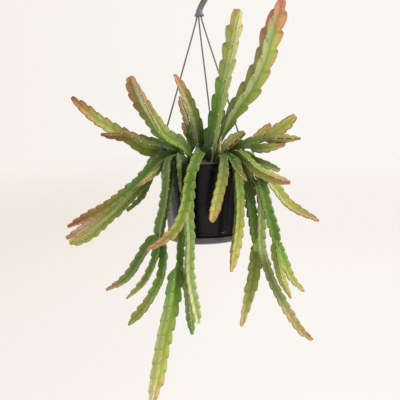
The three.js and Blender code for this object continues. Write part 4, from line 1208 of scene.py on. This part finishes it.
def hook_piece(material):
    build = Build()
    crook_z = HOOK_HEIGHT - CROOK_RADIUS + HOOK_WIDTH / 2 - CROOK_SAG
    line = [(HUB_X, 0, HUB_BASE + 5), (HUB_X + 2.5, 0, HUB_TOP + 3), (SHANK_X, 0, crook_z - SHANK_DROP)]
    for degrees in HOOK_ARC:
        x, z = polar(CROOK_RADIUS, degrees)
        line.append((x, 0, crook_z + z))
    path = Path(line, HOOK_STEP)
    section = hook_section()
    inward = np.stack([path.along[:, 2], np.zeros(len(path.s)), -path.along[:, 0]], axis=1)
    # The free end is rounded off
    close = np.minimum(1, HOOK_END + (path.length - path.s) / HOOK_END_RUN)
    ring = (path.at[:, None]
            + close[:, None, None] * (section[None, :, :1] * inward[:, None]
                                      + section[None, :, 1:] * np.array([0, 1, 0])))
    add_rod(build, ring, PLAIN)
    hub = [(0, HUB_BASE), (HUB_RADIUS - 0.6, HUB_BASE), (HUB_RADIUS, HUB_BASE + 0.8),
           (HUB_RADIUS - 0.4, HUB_BASE + 2.4), (HUB_RADIUS - 2.6, HUB_BASE + 5.5),
           (HUB_RADIUS - 3.4, HUB_TOP), (0, HUB_TOP)]
    turned(build, rounded(hub, HUB_ROUND), 64, PLAIN)
    build.points[-1] = build.points[-1] + (HUB_X, 0, 0)
    build.piece("hook_and_hub", [material], "hanger_plastic", "hanger_hook")


# All pieces are made here

SKIN = {
    "young": stem_material("stem_skin_young", 0.0),
    "leaf": stem_material("stem_skin_leaf", 0.02),
    "old": stem_material("stem_skin_old", 0.07),
}
WOOL = wool_material()
for index, (name, stem) in enumerate(STEMS.items()):
    build = Build()
    add_stem(build, stem, 100 * index)
    build.piece(name, [SKIN[stem["tint"]], WOOL], "stem_" + stem["tint"], "stem_" + name)

POT = plastic_material("pot_black", (8, 6, 7), 0.3, 0.24, 0.12, wave=0.0)
SAUCER = plastic_material("saucer_grey", (92, 90, 94), 0.38, 0.4, 0.3)
HANGER = plastic_material("hanger_grey", (112, 112, 118), 0.45, 0.4, 0.1)
pot_piece(POT)
saucer_piece(SAUCER)
soil_piece(soil_material())
hook_piece(HANGER)
for name in EAR_ANGLES:
    strand_piece(name, HANGER)

# Stage, light and camera

# These are in metres, in the part's frame
FLOOR_HEIGHT, FLOOR_REACH = -1.7, 30.0
FLOOR_PALE, FLOOR_DUSK = (237, 234, 229), (234, 229, 223)
FLOOR_LEFT = (0.925, 0.9, 0.875, 1)
BACKDROP_LEFT, BACKDROP_RIGHT = (245, 240, 235), (250, 247, 242)
ROOM = (0.97, 0.985, 1.0, 1)
CENTRE = (0, 0, -0.36)
# The camera's place, its turns in radians, and its focal length in pixels of the picture
CAMERA_AT = (-0.0048, -1.1888, -0.240)
PITCH, YAW, ROLL = 0.1082, -0.0009, -0.0226
FOCAL, PICTURE, SENSOR = 715.7, 400, 36


def floor():
    bm = bmesh.new()
    bmesh.ops.create_circle(bm, cap_ends=True, segments=96, radius=FLOOR_REACH)
    piece = linked("floor", mesh_of("floor", bm))
    piece.location = (0, 0, FLOOR_HEIGHT)
    m = new_material("floor")
    pale = rgba(linear(FLOOR_PALE))
    distance = m.new("ShaderNodeVectorMath", {0: m.where()}, operation="LENGTH").outputs["Value"]
    shade = m.mix("MIX", m.span(distance, 4.0, 9.0, 0, 1), pale, rgba(linear(FLOOR_DUSK)))
    shade = m.mix("MIX", m.span(distance, 12.0, 24.0, 0, 1), shade, pale)
    # It darkens a little to the left
    aside = m.new("ShaderNodeSeparateXYZ", {"Vector": m.where()}).outputs["X"]
    tinted = m.times(m.span(aside, -2.4, 0.6, 1, 0), m.span(distance, 5, 24, 1, 0.42))
    shade = m.mix("MULTIPLY", tinted, shade, FLOOR_LEFT)
    piece.data.materials.append(m.set(colour=shade, rough=0.9, specular=0.0))


def world():
    """A pale backdrop for the camera, and a dimmer room for the light."""
    made = bpy.data.worlds.new("studio")
    m = Nodes(made)
    m.tree.nodes.clear()
    towards = m.new("ShaderNodeTexCoord").outputs["Generated"]
    towards = m.new("ShaderNodeSeparateXYZ", {0: towards}).outputs
    # The backdrop is a little darker to the left
    backdrop = m.mix("MIX", m.span(towards["X"], -0.3, 0.1, 0, 1),
                     rgba(linear(BACKDROP_LEFT)), rgba(linear(BACKDROP_RIGHT)))
    seen = m.new("ShaderNodeBackground", {"Color": backdrop})
    # The room is dimmer in front of the plant than above and behind it
    dim = m.span(towards["Y"], -1.0, 0.5, 0.36, 0.66)
    room = m.new("ShaderNodeBackground", {"Color": ROOM, "Strength": dim})
    rays = m.new("ShaderNodeLightPath").outputs["Is Camera Ray"]
    pick = m.new("ShaderNodeMixShader", {0: rays, 1: room.outputs[0], 2: seen.outputs[0]})
    m.new("ShaderNodeOutputWorld", {"Surface": pick.outputs[0]})
    bpy.context.scene.world = made


def lamp(name, kind, origin, target, **values):
    data = bpy.data.lights.new(name, kind)
    for key, value in values.items():
        setattr(data, key, value)
    made = linked(name, data)
    made.location = origin
    made.rotation_euler = (Vector(target) - Vector(origin)).to_track_quat("-Z", "Y").to_euler()


def camera():
    sp, cp, sy, cy = math.sin(PITCH), math.cos(PITCH), math.sin(YAW), math.cos(YAW)
    forward = Vector((sy * cp, cy * cp, -sp))
    right = Vector((cy, -sy, 0))
    up = right.cross(forward)
    across = math.cos(ROLL) * right + math.sin(ROLL) * up
    upward = -math.sin(ROLL) * right + math.cos(ROLL) * up
    data = bpy.data.cameras.new("camera")
    data.sensor_width, data.lens = SENSOR, SENSOR * FOCAL / PICTURE
    data.clip_start, data.clip_end = 0.01, 200
    made = linked("camera", data)
    matrix = Matrix((across, upward, -forward)).transposed().to_4x4()
    matrix.translation = Vector(CAMERA_AT)
    made.matrix_world = matrix
    bpy.context.scene.camera = made


floor()
world()
lamp("key", "SUN", (1.0, -0.55, 0.9), (0, 0, 0), energy=3.0, angle=math.radians(20),
     color=(1.0, 0.985, 0.96))
lamp("left_panel", "AREA", (-1.3, 0.35, -0.2), CENTRE, shape="RECTANGLE", size=0.9, size_y=1.2,
     energy=14, color=(0.93, 0.95, 1.0))
lamp("right_strip", "AREA", (1.0, 1.1, 0.0), CENTRE, shape="RECTANGLE", size=0.1, size_y=0.8,
     energy=5)
camera()
bpy.context.scene.view_settings.view_transform = "Standard"
bpy.context.scene.view_settings.look = "None"

bpy.context.view_layer.update()
